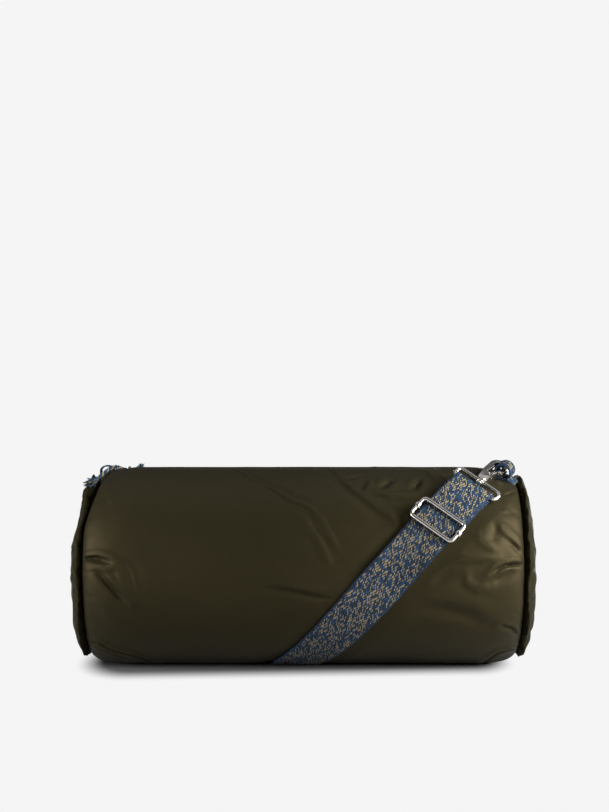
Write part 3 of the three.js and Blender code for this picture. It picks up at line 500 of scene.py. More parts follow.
route, floor_start, climb_start = route_in_side_view()
lengths = run_along(route)
floor_from, climb_from = lengths[floor_start], lengths[climb_start]
bail_from = math.radians(ROUTE_TOP - BAIL_ANGLE) * (strap_seat + strap_lift)
bail_to = lengths[-1] - bail_from
print("side view", round(lengths[-1], 1), "mm long, on the floor from", round(floor_from, 1), "mm")

# %% [markdown]
# ## The strap's slant
# On the barrel the webbing lies at one slant, a little steeper low down. Under the bag it straightens, just enough to
# arrive at the other bail. The slant is summed along the line to give each point its place along the bag. Near the
# bails the ribbon is flat across, as the wire holds it, and further on it wraps the barrel.

# %% Slant of the strap
def straight_share(q):
    return ease(floor_from, floor_from + EASE_LENGTH, q) * (1 - ease(climb_from, climb_from + EASE_LENGTH, q))


def barrel_slope(q):
    low = ease(math.radians(ROUTE_TOP) * strap_seat, floor_from, q)
    low *= 1 - ease(floor_from + EASE_LENGTH, climb_from, q)
    return lean_slope * (1 - LOW_STEEPENING * low)


slant_sum, straight_sum = 0.0, 0.0
q = bail_from
while q < bail_to:
    share = straight_share(q + ROUTE_STEP / 2)
    slant_sum += barrel_slope(q + ROUTE_STEP / 2) * (1 - share) * ROUTE_STEP
    straight_sum += share * ROUTE_STEP
    q += ROUTE_STEP
floor_slope = (2 * BAIL_X - slant_sum) / straight_sum


def slope_at(q):
    return barrel_slope(q) + (floor_slope - barrel_slope(q)) * straight_share(q)


route_x = [BAIL_X + bail_from * lean_slope]
for before, after in zip(lengths, lengths[1:]):
    parts = max(1, math.ceil((after - before) / ROUTE_STEP))
    width = (after - before) / parts
    route_x.append(route_x[-1] - sum(slope_at(before + width * (k + 0.5)) * width for k in range(parts)))


def route_place(q):
    i = min(max(bisect.bisect_right(lengths, q), 1), len(lengths) - 1)
    share = (q - lengths[i - 1]) / (lengths[i] - lengths[i - 1])
    spot = route[i - 1].lerp(route[i], share)
    return Vector((route_x[i - 1] + (route_x[i] - route_x[i - 1]) * share, spot.x, spot.y))


def route_tangent(q):
    return (route_place(q + ROUTE_STEP) - route_place(q - ROUTE_STEP)).normalized()


def slant_across(q):
    along = route_tangent(q)
    section = Vector((0, along.y, along.z)).normalized()
    return Vector((1, slope_at(q) * section.y, slope_at(q) * section.z)).normalized()


right_across = slant_across(bail_from + ADJUSTER_DISTANCE / 2 * lean_cos)
left_across = Matrix.Rotation(-math.radians(LEFT_DROP), 3, "X") @ Vector(
    (right_across.x, right_across.y, -right_across.z))


def from_right(q):
    return (q - bail_from) / lean_cos


def from_left(q):
    return (bail_to - q) / lean_cos


def strap_frame(q):
    along = route_tangent(q)
    across = right_across if from_right(q) < from_left(q) else left_across
    across = (across - along * across.dot(along)).normalized()
    return route_place(q), along, across, along.cross(across).normalized()


def strap_spot(q, height, width):
    flat = 1 - ease(FLAT_LENGTH, FLAT_LENGTH + TWIST_LENGTH, min(from_right(q), from_left(q)))
    slope = slope_at(q) * (1 - straight_share(q))
    reach = width / math.hypot(1, slope)
    wrapped = route_place(q + reach * slope)
    wrapped.x = route_place(q).x + reach
    along = route_tangent(q + reach * slope)
    wrapped += Vector((0, along.z, -along.y)).normalized() * height
    if flat > 0:
        point, _, across, out = strap_frame(q)
        wrapped = wrapped.lerp(point + out * height + across * width, flat)
    return wrapped * MM


print("slope on the barrel", round(lean_slope, 3), "and under the bag", round(floor_slope, 3))

# %% [markdown]
# ## Ribbons from a grid
# A ribbon, a tape loop and a cord ply are all the same thing to a modeller: a flat grid whose rows are carried along a
# path. So one helper makes a grid with the operator, notes each vertex's row and column, writes the UV map from them
# in metres, and then moves every vertex to its place.

# %% Grid helper
def carried_grid(bm, rows, columns, place, uv, material=0):
    made = bmesh.ops.create_grid(bm, x_segments=rows, y_segments=columns, size=0.5)["verts"]
    layer = bm.loops.layers.uv.verify()
    cell = {v: (round((v.co.x + 0.5) * rows), round((v.co.y + 0.5) * columns)) for v in made}
    for face in {face for v in made for face in v.link_faces}:
        face.material_index = material
        for loop in face.loops:
            loop[layer].uv = uv(*cell[loop.vert])
    for v in made:
        v.co = place(*cell[v])


def bake(piece):
    evaluated = piece.evaluated_get(bpy.context.evaluated_depsgraph_get())
    mesh = bpy.data.meshes.new_from_object(evaluated)
    piece.modifiers.clear()
    piece.data = mesh


def thicken(piece, thickness, offset=0.0):
    wall = piece.modifiers.new("wall", "SOLIDIFY")
    wall.thickness = thickness
    wall.offset = offset
    wall.use_even_offset = False
    bake(piece)


# %% [markdown]
# ## The strap itself
# The webbing goes round the bail at each end. At the right it turns under, runs to the adjuster's loose bar, wraps it
# and is sewn; that short layer is a piece of its own. The visible ribbon is never quite flat, so a little slow noise
# lifts it and makes its edges wander by a thread.

# %% Strap webbing
STRIPS = 14
WEBBING_EASE = 0.12
BAIL_STEPS, BAR_STEPS = 14, 12


def webbing_ribbon(name, line):
    run = [0.0]
    for a, b in zip(line, line[1:]):
        slanted = abs(b[1] - a[1]) < 0.3 * abs(b[0] - a[0])
        run.append(run[-1] + math.dist(a, b) * (1.0 / lean_cos if slanted else 1.0))

    def place(i, j):
        q, height = line[i]
        wave = noise.noise(Vector((run[i] * 0.035, j * 0.12, 3.1)))
        edge = noise.noise(Vector((run[i] * 0.21, j // STRIPS * 9.0, 7.7))) * 0.16
        width = (j / STRIPS - 0.5) * (STRAP_WIDTH - 0.4 + edge)
        return strap_spot(q, height + WEBBING_EASE * wave, width)

    bm = bmesh.new()
    carried_grid(
        bm, len(line) - 1, STRIPS, place,
        lambda i, j: ((j / STRIPS - 0.5) * STRAP_WIDTH * MM, run[i] * MM))
    piece = new_piece(name, bm, [webbing])
    thicken(piece, (STRAP_THICKNESS - 0.1) * MM)
    return piece, run[-1] * MM


def fitted(piece, slot, body, *nodes):
    if nodes:
        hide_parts(*nodes)
    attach(piece, body)


def spread(start, stop, step):
    count = max(1, math.ceil(abs(stop - start) / step))
    return [start + (stop - start) * i / count for i in range(count + 1)]


def bail_fold(origin, direction, lower, low_end):
    line = [(origin + direction * s * lean_cos, -2 * bail_wrap - (low_end - 2 * bail_wrap) * s / lower[1])
            for s in spread(lower[0], 0.0, 2.0)]
    for i in range(1, BAIL_STEPS + 1):
        angle = math.pi * (1 - i / BAIL_STEPS)
        line.append((origin - direction * bail_wrap * math.sin(angle) * lean_cos, -bail_wrap * (1 - math.cos(angle))))
    return line


UNDER_LENGTH = 10.0
SEWN_LEG = 30.0
right_fold = bail_fold(bail_from, 1, (UNDER_LENGTH, ADJUSTER_DISTANCE), wrap_low)
left_fold = bail_fold(bail_to, -1, (SEWN_LEG, SEWN_LEG), 2 * bail_wrap)
out_fold_from = floor_from + (route[floor_start + 1] - route[floor_start]).length
stops = [bail_from, out_fold_from - 4, out_fold_from + 11, climb_from - 12, climb_from + 4, bail_to]
steps = [2.0, 0.6, 3.0, 0.6, 2.0]
middle = [q for a, b, step in zip(stops, stops[1:], steps) for q in spread(a, b, step)[1:]]
strap_line = right_fold + [(q, 0.0) for q in middle[:-1]] + left_fold[::-1]
strap, strap_length = webbing_ribbon("strap_webbing_woven", strap_line)
fitted(strap, "webbing", "bag", "strap_webbing", "strap_fold_left")

under_line = [
    (bail_from + s * lean_cos, -(2 * bail_wrap + (wrap_low - 2 * bail_wrap) * s / ADJUSTER_DISTANCE))
    for s in spread(UNDER_LENGTH + 0.4, ADJUSTER_DISTANCE, 2.0)]
for i in range(1, BAR_STEPS + 1):
    angle = math.pi * i / BAR_STEPS
    under_line.append((
        bail_from + (ADJUSTER_DISTANCE + bar_wrap * math.sin(angle)) * lean_cos,
        -(bar_depth + bar_wrap * math.cos(angle))))
under_line += [(bail_from + s * lean_cos, -wrap_top) for s in spread(ADJUSTER_DISTANCE, 38.0, 2.0)[1:]]
under_strap, under_length = webbing_ribbon("strap_under_layer", under_line)
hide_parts("strap_fold_right")
strap_spot(bail_from + 14 * lean_cos, 0, 0)
strap_spot(bail_from + 36 * lean_cos, 0, 0)
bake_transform(under_strap)
print("strap", round(strap_length, 3), "m and", round(under_length, 3), "m under the adjuster")

# %% [markdown]
# ## Wire bails and the adjuster
# A bail is a length of round wire bent into a rectangle. It is made as the wire was: a circle is drawn along each
# straight and spun round each corner, until the last ring meets the first. A turned collar on the bail's free side
# holds the hook's swivel. The adjuster is the same bent wire with longer sides.

# %% Bent wire
WIRE_WIDTH = STRAP_WIDTH + 2 * 1.4 + WIRE
BAIL_DEPTH = 10.2
ADJUSTER_DEPTH = 21.0
WIRE_CORNER = 3.6
WIRE_RADIUS = WIRE / 2 + 0.3
COLLAR_LENGTH = 6.2


def bent_ring(bm, width, depth, corner, radius):
    stand = Matrix.Translation((0, depth / 2, 0)) @ Matrix.Rotation(math.pi / 2, 4, "Y")
    ring = bmesh.ops.create_circle(bm, segments=16, radius=radius, matrix=stand)["verts"]
    edges = list({edge for v in ring for edge in v.link_edges})
    heading = Vector((1, 0, 0))
    quarter = Matrix.Rotation(-math.pi / 2, 3, "Z")
    place = Vector((0, depth / 2, 0))
    runs = [width / 2 - corner, depth - 2 * corner, width - 2 * corner, depth - 2 * corner, width / 2 - corner]
    for number, run in enumerate(runs):
        drawn = bmesh.ops.extrude_edge_only(bm, edges=edges)["geom"]
        verts = [g for g in drawn if isinstance(g, bmesh.types.BMVert)]
        edges = [g for g in drawn if isinstance(g, bmesh.types.BMEdge)]
        bmesh.ops.translate(bm, vec=heading * run, verts=verts)
        place = place + heading * run
        if number == len(runs) - 1:
            break
        centre = place + quarter @ heading * corner
        turned = bmesh.ops.spin(
            bm, geom=verts + edges, cent=centre, axis=(0, 0, -1), angle=math.pi / 2, steps=7, use_merge=False)
        edges = [g for g in turned["geom_last"] if isinstance(g, bmesh.types.BMEdge)]
        heading = quarter @ heading
        place = centre + heading.cross(Vector((0, 0, 1))) * -corner
    bmesh.ops.remove_doubles(bm, verts=bm.verts, dist=0.01)
    bmesh.ops.recalc_face_normals(bm, faces=bm.faces)


def turned_about_y(bm, profile):
    chain = [bm.verts.new((radius, y, 0)) for radius, y in profile]
    edges = [bm.edges.new(pair) for pair in zip(chain, chain[1:])]
    bmesh.ops.spin(
        bm, geom=chain + edges, cent=(0, 0, 0), axis=(0, 1, 0), angle=2 * math.pi, steps=28, use_merge=True)


def basis(x_axis, y_axis, z_axis, origin):
    place = Matrix((x_axis, y_axis, z_axis)).transposed().to_4x4()
    place.translation = origin
    return place


def strap_place(q, height):
    point, along, across, out = strap_frame(q)
    return basis(across, -along, out, point + out * height)


# %% [markdown]
# ## Placing the wire
# The right bail hangs in the webbing's fold, and the hook points from it to the tab loop in the end seam. The left end
# is the same set turned half round and dropped down the back, so one matrix takes every right-hand piece there.

# %% Bails and adjuster
bail_place = strap_place(bail_from, -bail_wrap) @ Matrix.Translation((0, BAIL_DEPTH, 0))
hook_axis = Vector((0.5, 0.8, 0.33)).normalized()
nose_hint = Vector((0.856, -0.398, -0.33))
nose_side = (nose_hint - hook_axis * nose_hint.dot(hook_axis)).normalized()
hook_place = basis(nose_side, hook_axis, nose_side.cross(hook_axis), bail_place.translation)
to_left = (
    Matrix.Translation((0, 0, AXIS_Z)) @ Matrix.Rotation(-math.radians(LEFT_DROP), 4, "X")
    @ Matrix.Rotation(math.pi, 4, "Z") @ Matrix.Translation((0, 0, -AXIS_Z)))
to_metres = Matrix.Scale(MM, 4)
sides = {"right": Matrix.Identity(4), "left": to_left}

COLLAR_PROFILE = [
    (2.0, -0.44), (2.6, -0.5), (3.3, -0.47), (3.6, -0.4), (3.6, -0.2), (3.2, -0.12),
    (3.2, 0.12), (3.6, 0.2), (3.6, 0.4), (3.3, 0.47), (2.6, 0.5), (2.0, 0.44), (2.0, -0.44)]

for side, to_side in sides.items():
    wire = bmesh.new()
    bent_ring(wire, WIRE_WIDTH, BAIL_DEPTH, WIRE_CORNER, WIRE_RADIUS)
    bmesh.ops.translate(wire, vec=(0, -BAIL_DEPTH / 2, 0), verts=wire.verts)
    bmesh.ops.transform(wire, matrix=bail_place, verts=wire.verts)
    ring_verts = set(wire.verts)
    turned_about_y(wire, [(r, y * COLLAR_LENGTH) for r, y in COLLAR_PROFILE])
    collar = [v for v in wire.verts if v not in ring_verts]
    bmesh.ops.transform(wire, matrix=hook_place, verts=collar)
    bmesh.ops.remove_doubles(wire, verts=collar, dist=0.01)
    bmesh.ops.recalc_face_normals(wire, faces=wire.faces)
    bmesh.ops.transform(wire, matrix=to_metres @ to_side, verts=wire.verts)
    bail = new_piece(f"bail_wire_{side}", wire, [nickel])
    fitted(bail, "nickel", "bag", f"strap_bail_{side}")

adjuster_place = strap_place(
    bail_from + ADJUSTER_DISTANCE * lean_cos, STRAP_THICKNESS / 2 + CLEARANCE + WIRE / 2)
wire = bmesh.new()
bent_ring(wire, WIRE_WIDTH, ADJUSTER_DEPTH, WIRE_CORNER, WIRE_RADIUS)
bmesh.ops.transform(wire, matrix=to_metres @ adjuster_place, verts=wire.verts)
adjuster = new_piece("adjuster_wire", wire, [nickel])
fitted(adjuster, "nickel", "adjuster", "adjuster_frame")
print("bail at", [round(v, 4) for v in bail_place.translation * MM])

# %% [markdown]
# ## Castings
# The hook, its gate, the zip slider and the small pins have the right shape in the CAD model, but its edges are knife
# sharp, and real castings catch the light on rounded edges. A merged copy of each node gets a small bevel on every
# sharp edge, and the flat sides keep their flat shading because the remaining sharp edges are marked.

# %% Softened castings
SHARP_ANGLE, FLAT_SHADED_ANGLE = math.radians(32), math.radians(38)


def softened(node, body, radius):
    bm = bmesh.new()
    bm.from_mesh(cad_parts[node].data)
    bmesh.ops.remove_doubles(bm, verts=bm.verts, dist=0.000005)
    bmesh.ops.dissolve_limit(bm, angle_limit=math.radians(1.0), verts=bm.verts, edges=bm.edges)
    sharp = [edge for edge in bm.edges if edge.is_manifold and edge.calc_face_angle() > SHARP_ANGLE]
    bmesh.ops.bevel(
        bm, geom=sharp, offset=radius, offset_type="OFFSET", segments=2, profile=0.5, affect="EDGES",
        clamp_overlap=True, material=-1)
    bmesh.ops.triangulate(bm, faces=[face for face in bm.faces if len(face.verts) > 4])
    for edge in bm.edges:
        edge.smooth = not (edge.is_manifold and edge.calc_face_angle() > FLAT_SHADED_ANGLE)
    fitted(new_piece(f"{node}_cast", bm, [nickel]), "nickel", body, node)


for side in sides:
    softened(f"hook_body_{side}", f"hook_{side}", 0.0007)
    softened(f"hook_gate_{side}", f"gate_{side}", 0.0004)
    softened(f"gate_pin_{side}", f"hook_{side}", 0.0002)
    softened(f"gate_spring_{side}", f"hook_{side}", 0.00015)
    softened(f"zip_stop_{side}", "bag", 0.0005)
softened("zip_slider", "zip_slider", 0.00035)
softened("adjuster_bar", "adjuster", 0.0004)

# %% [markdown]
# ## Tab loops
# A short tape is folded round the hook's nose and its two ends are sewn into the end seam. The path of the tape is a
# circle that opens into two parallel tails, and the grid helper carries the tape's width along it.

# %% Tab loops
TAB_WIDTH, TAB_THICKNESS = 11.0, 1.8
TAB_EYE, TAB_TAIL, TAB_SHIFT = 6.5, 17.0, 8.0
TAB_STRIPS, TAB_HEIGHT = 8, 35.0
eye_centre = Vector((8.5, 0.0))
tail = Vector((0.585, -0.811)).normalized()
tail_side = Vector((-tail.y, tail.x))


def tab_path():
    half = TAB_THICKNESS / 2 + CLEARANCE / 2
    radius = TAB_EYE + TAB_THICKNESS / 2
    aim, spread_angle = math.atan2(tail.y, tail.x), math.asin(half / radius)
    inner = radius * math.cos(spread_angle)
    path = [eye_centre + tail * t + tail_side * half for t in spread(TAB_TAIL, inner, 1.2)]
    for i in range(1, 40):
        angle = aim + spread_angle + (2 * math.pi - 2 * spread_angle) * i / 40
        path.append(eye_centre + Vector((math.cos(angle), math.sin(angle))) * radius)
    path += [eye_centre + tail * t - tail_side * half for t in spread(inner, TAB_TAIL, 1.2)]
    return path


tab_line = tab_path()
tab_run = run_along(tab_line)
outer_radius = TAB_EYE + TAB_THICKNESS


def tab_place(i, j):
    spot = tab_line[i]
    along = (spot - eye_centre).dot(tail)
    shift = TAB_SHIFT * max(0.0, (along - outer_radius) / (TAB_TAIL - outer_radius))
    across = (j / TAB_STRIPS - 0.5) * TAB_WIDTH
    return hook_place @ Vector((spot.x, TAB_HEIGHT + across + shift, spot.y))


for side, to_side in sides.items():
    tape = bmesh.new()
    carried_grid(
        tape, len(tab_line) - 1, TAB_STRIPS, tab_place,
        lambda i, j: ((j / TAB_STRIPS - 0.5) * TAB_WIDTH * MM, tab_run[i] * MM))
    bmesh.ops.transform(tape, matrix=to_metres @ to_side, verts=tape.verts)
    loop = new_piece(f"tab_tape_{side}", tape, [tab_tape])
    thicken(loop, (TAB_THICKNESS - 0.2) * MM)
    fitted(loop, "webbing", "bag", f"tab_loop_{side}")
print("tab tape", round(tab_run[-1], 1), "mm")

# %% [markdown]
# ## A loop at the zip's end
# At the left end of the zip a short folded tape stands up behind the cord, to hold on to while the zip is pulled. It
# is the same tape as the tabs, bent over a half circle.

# %% Zip-end loop
LOOP_AT = Vector((-184.5, 9.0, 172.8))
LOOP_RADIUS, LOOP_RISE, LOOP_WIDTH, LOOP_THICKNESS, LOOP_STRIPS = 6.0, 3.4, 10.5, 1.3, 6
loop_line = [Vector((LOOP_RADIUS, 0, z)) for z in (-3.0, 0, LOOP_RISE)]
for i in range(1, 20):
    turn = math.pi * i / 20
    loop_line.append(Vector((LOOP_RADIUS * math.cos(turn), 0, LOOP_RISE + LOOP_RADIUS * 0.75 * math.sin(turn))))
loop_line += [Vector((-p.x, 0, p.z - 3.0)) for p in loop_line[2::-1]]
loop_run = run_along(loop_line)
tape = bmesh.new()
carried_grid(
    tape, len(loop_line) - 1, LOOP_STRIPS,
    lambda i, j: (LOOP_AT + loop_line[i] + Vector((0, (j / LOOP_STRIPS - 0.5) * LOOP_WIDTH, 0))) * MM,
    lambda i, j: ((j / LOOP_STRIPS - 0.5) * LOOP_WIDTH * MM, loop_run[i] * MM))
zip_loop = new_piece("zip_end_loop", tape, [tab_tape])
thicken(zip_loop, LOOP_THICKNESS * MM)
fitted(zip_loop, "webbing", "bag")
print("zip-end loop", round(loop_run[-1], 1), "mm")

# %% [markdown]
# ## The cord pull
# The zip is pulled by a short rope of twisted yarn that passes under the slider's bridge. A rope is plies wound round
# a common line, so each ply is a thin tube whose line circles the route. One ply of three is gold.

# %% Twisted cord
CORD_ROUTE = [
    (-155.5, -0.8, 178.45), (-159.5, 0.0, 177.35), (-162.5, 0.0, 177.25), (-167.5, 0.0, 177.55), (-175.0, -3.0, 180.2),
    (-180.0, -11.0, 178.8), (-184.5, -22.0, 174.8), (-190.0, -32.0, 169.4)]


def smooth_route(points, count):
    knots = [Vector(p) for p in points]
    knots = [2 * knots[0] - knots[1], *knots, 2 * knots[-1] - knots[-2]]
    line = []
    for i in range(1, len(knots) - 2):
        a, b, c, d = knots[i - 1:i + 3]
        for k in range(count):
            t = k / count
            line.append(0.5 * (2 * b + (c - a) * t + (2 * a - 5 * b + 4 * c - d) * t * t
                               + (3 * b - a - 3 * c + d) * t ** 3))
    return [*line, knots[-2]]


cord_line = smooth_route(CORD_ROUTE, 14)
cord_run = run_along(cord_line)


def line_frame(i):
    along = (cord_line[min(i + 1, len(cord_line) - 1)] - cord_line[max(i - 1, 0)]).normalized()
    side = along.cross(Vector((0, 0, 1))).normalized()
    return along, side, side.cross(along)


PLIES, PLY_SIDES = 3, 9
PLY_RADIUS, PLY_OFFSET, LAY_LENGTH = 1.0, 0.88, 9.5
rope = bmesh.new()
for ply in range(PLIES):
    def ply_centre(i):
        _, side, up = line_frame(i)
        angle = 2 * math.pi * (cord_run[i] / LAY_LENGTH + ply / PLIES)
        return cord_line[i] + (side * math.cos(angle) + up * math.sin(angle)) * PLY_OFFSET

    def ply_place(i, j):
        _, side, up = line_frame(i)
        angle = 2 * math.pi * j / PLY_SIDES
        return (ply_centre(i) + (side * math.cos(angle) + up * math.sin(angle)) * PLY_RADIUS) * MM

    carried_grid(
        rope, len(cord_line) - 1, PLY_SIDES, ply_place, lambda i, j: (j / PLY_SIDES, cord_run[i] * MM), ply == 2)
bmesh.ops.remove_doubles(rope, verts=rope.verts, dist=0.000002)
bmesh.ops.holes_fill(rope, edges=[edge for edge in rope.edges if edge.is_boundary], sides=12)
bmesh.ops.recalc_face_normals(rope, faces=rope.faces)
cord = new_piece("pull_cord_twisted", rope, [blue_yarn, gold_yarn])
print("cord", round(cord_run[-1], 1), "mm")

# %% [markdown]
# ## Frayed ends
# Both ends of the rope are left to fray: a burst of fine strands, each a small tapered tube, with a seeded spread so
# that every run gives the same ends.

# %% Frayed ends
STRAND_ROWS, STRAND_SIDES = 6, 4


def frayed_end(name, at, direction, length, bundle, flare, count, seed):
    rng = random.Random(seed)
    direction = direction.normalized()
    side = direction.cross(Vector((0, 0, 1))).normalized()
    up = side.cross(direction)
    tuft = bmesh.new()
    for _ in range(count):
        turn = rng.uniform(0, 2 * math.pi)
        spot = math.sqrt(rng.random())
        start = (side * math.cos(turn) + up * math.sin(turn)) * spot * bundle
        drift = (side * math.cos(turn) + up * math.sin(turn)) * spot * flare
        kink = Vector([rng.uniform(-0.7, 0.7) for _ in range(3)])
        reach = length * rng.uniform(0.6, 1.0)
        thick = rng.uniform(0.34, 0.54)

        def strand_place(i, j):
            t = i / STRAND_ROWS
            centre = at + start + direction * (reach * t - 1.5) + drift * t * t + kink * math.sin(t * 5) * t
            angle = 2 * math.pi * j / STRAND_SIDES
            radius = thick * (1 - 0.45 * t)
            return (centre + (side * math.cos(angle) + up * math.sin(angle)) * radius) * MM

        carried_grid(
            tuft, STRAND_ROWS, STRAND_SIDES, strand_place,
            lambda i, j: (j / STRAND_SIDES, i / STRAND_ROWS * reach * MM), int(rng.random() < 0.16))
    bmesh.ops.remove_doubles(tuft, verts=tuft.verts, dist=0.000001)
    bmesh.ops.recalc_face_normals(tuft, faces=tuft.faces)
    return new_piece(name, tuft, [blue_yarn, gold_yarn])


left_tuft = frayed_end("frayed_end_left", cord_line[-1], Vector((-0.6, -0.62, -0.5)), 13.0, 2.1, 4.4, 130, 4)
right_tuft = frayed_end("frayed_end_right", cord_line[0], cord_line[0] - cord_line[5], 8.5, 1.4, 2.4, 80, 9)
for piece, node in ((cord, "pull_cord"), (left_tuft, "pull_tassel_left"), (right_tuft, "pull_tassel_right")):
    fitted(piece, "cord_yarn", "zip_slider", node)
    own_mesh(piece)
[p * MM for p in cord_line[::4]]
print("frayed ends", [len(tuft.data.polygons) for tuft in (left_tuft, right_tuft)], "faces")

# %% [markdown]
# ## The padded shell
# The shell starts as a clean tube on the barrel's profile. It is then treated as cloth: both end rings are sewn down,
# the cloth is cut a little too large for the seams, and a light pressure stands for the padding. What is left over
# gathers at the ends. Each point's movement is held to a few millimetres, so the bag keeps its size.

# %% Barrel and cloth helpers
STRAIGHT_HALF, SHOULDER, SHOULDER_DROP = 150.0, 46.0, 13.0
CLOTH_FRAMES = 20


def barrel_profile(inset, straight_steps, shoulder_steps):
    turns = [math.pi / 2 * i / shoulder_steps for i in range(1, shoulder_steps + 1)]
    half = [(STRAIGHT_HALF * i / straight_steps, BARREL_RADIUS - inset) for i in range(straight_steps + 1)]
    half += [
        (STRAIGHT_HALF + (SHOULDER - inset) * math.sin(a), BARREL_RADIUS - inset - SHOULDER_DROP * (1 - math.cos(a)))
        for a in turns]
    return [(-x, r) for x, r in half[:0:-1]] + half


def barrel_radius(x, inset=0.0):
    over = np.clip((np.abs(x) - STRAIGHT_HALF) / (SHOULDER - inset), 0.0, 1.0)
    return BARREL_RADIUS - inset - SHOULDER_DROP * (1 - np.sqrt(1 - over * over))


def spun_tube(name, profile, columns, material):
    run = run_along(profile)

    def place(i, j):
        x, radius = profile[i]
        angle = 2 * math.pi * j / columns - math.pi / 2
        return Vector((x, -radius * math.cos(angle), AXIS_Z + radius * math.sin(angle))) * MM

    bm = bmesh.new()
    turn = 2 * math.pi * BARREL_RADIUS * MM / columns
    carried_grid(bm, len(profile) - 1, columns, place, lambda i, j: (j * turn, run[i] * MM))
    bmesh.ops.remove_doubles(bm, verts=bm.verts, dist=0.00002)
    bmesh.ops.recalc_face_normals(bm, faces=bm.faces)
    return new_piece(name, bm, [material])


def points_of(piece):
    flat = np.empty(len(piece.data.vertices) * 3)
    piece.data.vertices.foreach_get("co", flat)
    return flat.reshape(-1, 3)


def set_points(piece, points):
    piece.data.vertices.foreach_set("co", points.ravel())
    piece.data.update()


def sewn_and_filled(piece, sewn, pressure, growth, cap):
    rest = points_of(piece)
    piece.vertex_groups.new(name="sewn").add([int(i) for i in sewn], 1.0, "REPLACE")
    cloth = piece.modifiers.new("cloth", "CLOTH")
    cloth.settings.quality = 6
    cloth.settings.mass = 0.3
    cloth.settings.tension_stiffness = 20.0
    cloth.settings.compression_stiffness = 20.0
    cloth.settings.bending_stiffness = 1.2
    cloth.settings.use_pressure = True
    cloth.settings.uniform_pressure_force = pressure
    cloth.settings.shrink_min = -growth
    cloth.settings.vertex_group_mass = "sewn"
    cloth.settings.effector_weights.gravity = 0.0
    cloth.collision_settings.use_collision = False
    cloth.point_cache.frame_start = 1
    cloth.point_cache.frame_end = CLOTH_FRAMES
    for number in range(1, CLOTH_FRAMES + 1):
        bpy.context.scene.frame_set(number)
    bake(piece)
    bpy.context.scene.frame_set(1)
    shift = points_of(piece) - rest
    reach = np.linalg.norm(shift, axis=1, keepdims=True)
    set_points(piece, rest + shift * np.minimum(1.0, cap / np.maximum(reach, 1e-9)))
    most, mean = [round(float(value) / MM, 2) for value in (reach.max(), reach.mean())]
    print(piece.name, "simulated to move", most, "mm at most, mean", mean, "and held to", round(cap / MM, 2))


def subdivided(piece, levels):
    modifier = piece.modifiers.new("smooth", "SUBSURF")
    modifier.levels = modifier.render_levels = levels
    bake(piece)


# %% [markdown]
# ## Filling the shell
# The tube's two end rings are picked by their place along the bag and sewn down. After the simulation the mesh is
# smoothed once, which gives the folds below enough points to move.

# %% Cloth shell
shell = spun_tube("shell_form", barrel_profile(0.0, 33, 11), 126, nylon)
spots = points_of(shell) / MM
sewn_down = np.nonzero(np.abs(spots[:, 0]) > HALF_BODY - 0.5)[0]
sewn_and_filled(shell, sewn_down, 2.0, 0.016, 0.004)
subdivided(shell, 1)
print("shell", len(shell.data.polygons), "faces")

# %% [markdown]
# ## Folds and puckers
# A simulation gives the cloth its character but not the folds of this very bag. Those were noted on the photo as short
# lines on the barrel, in millimetres along it and degrees round it. Each row has a depth, a width and a lean.

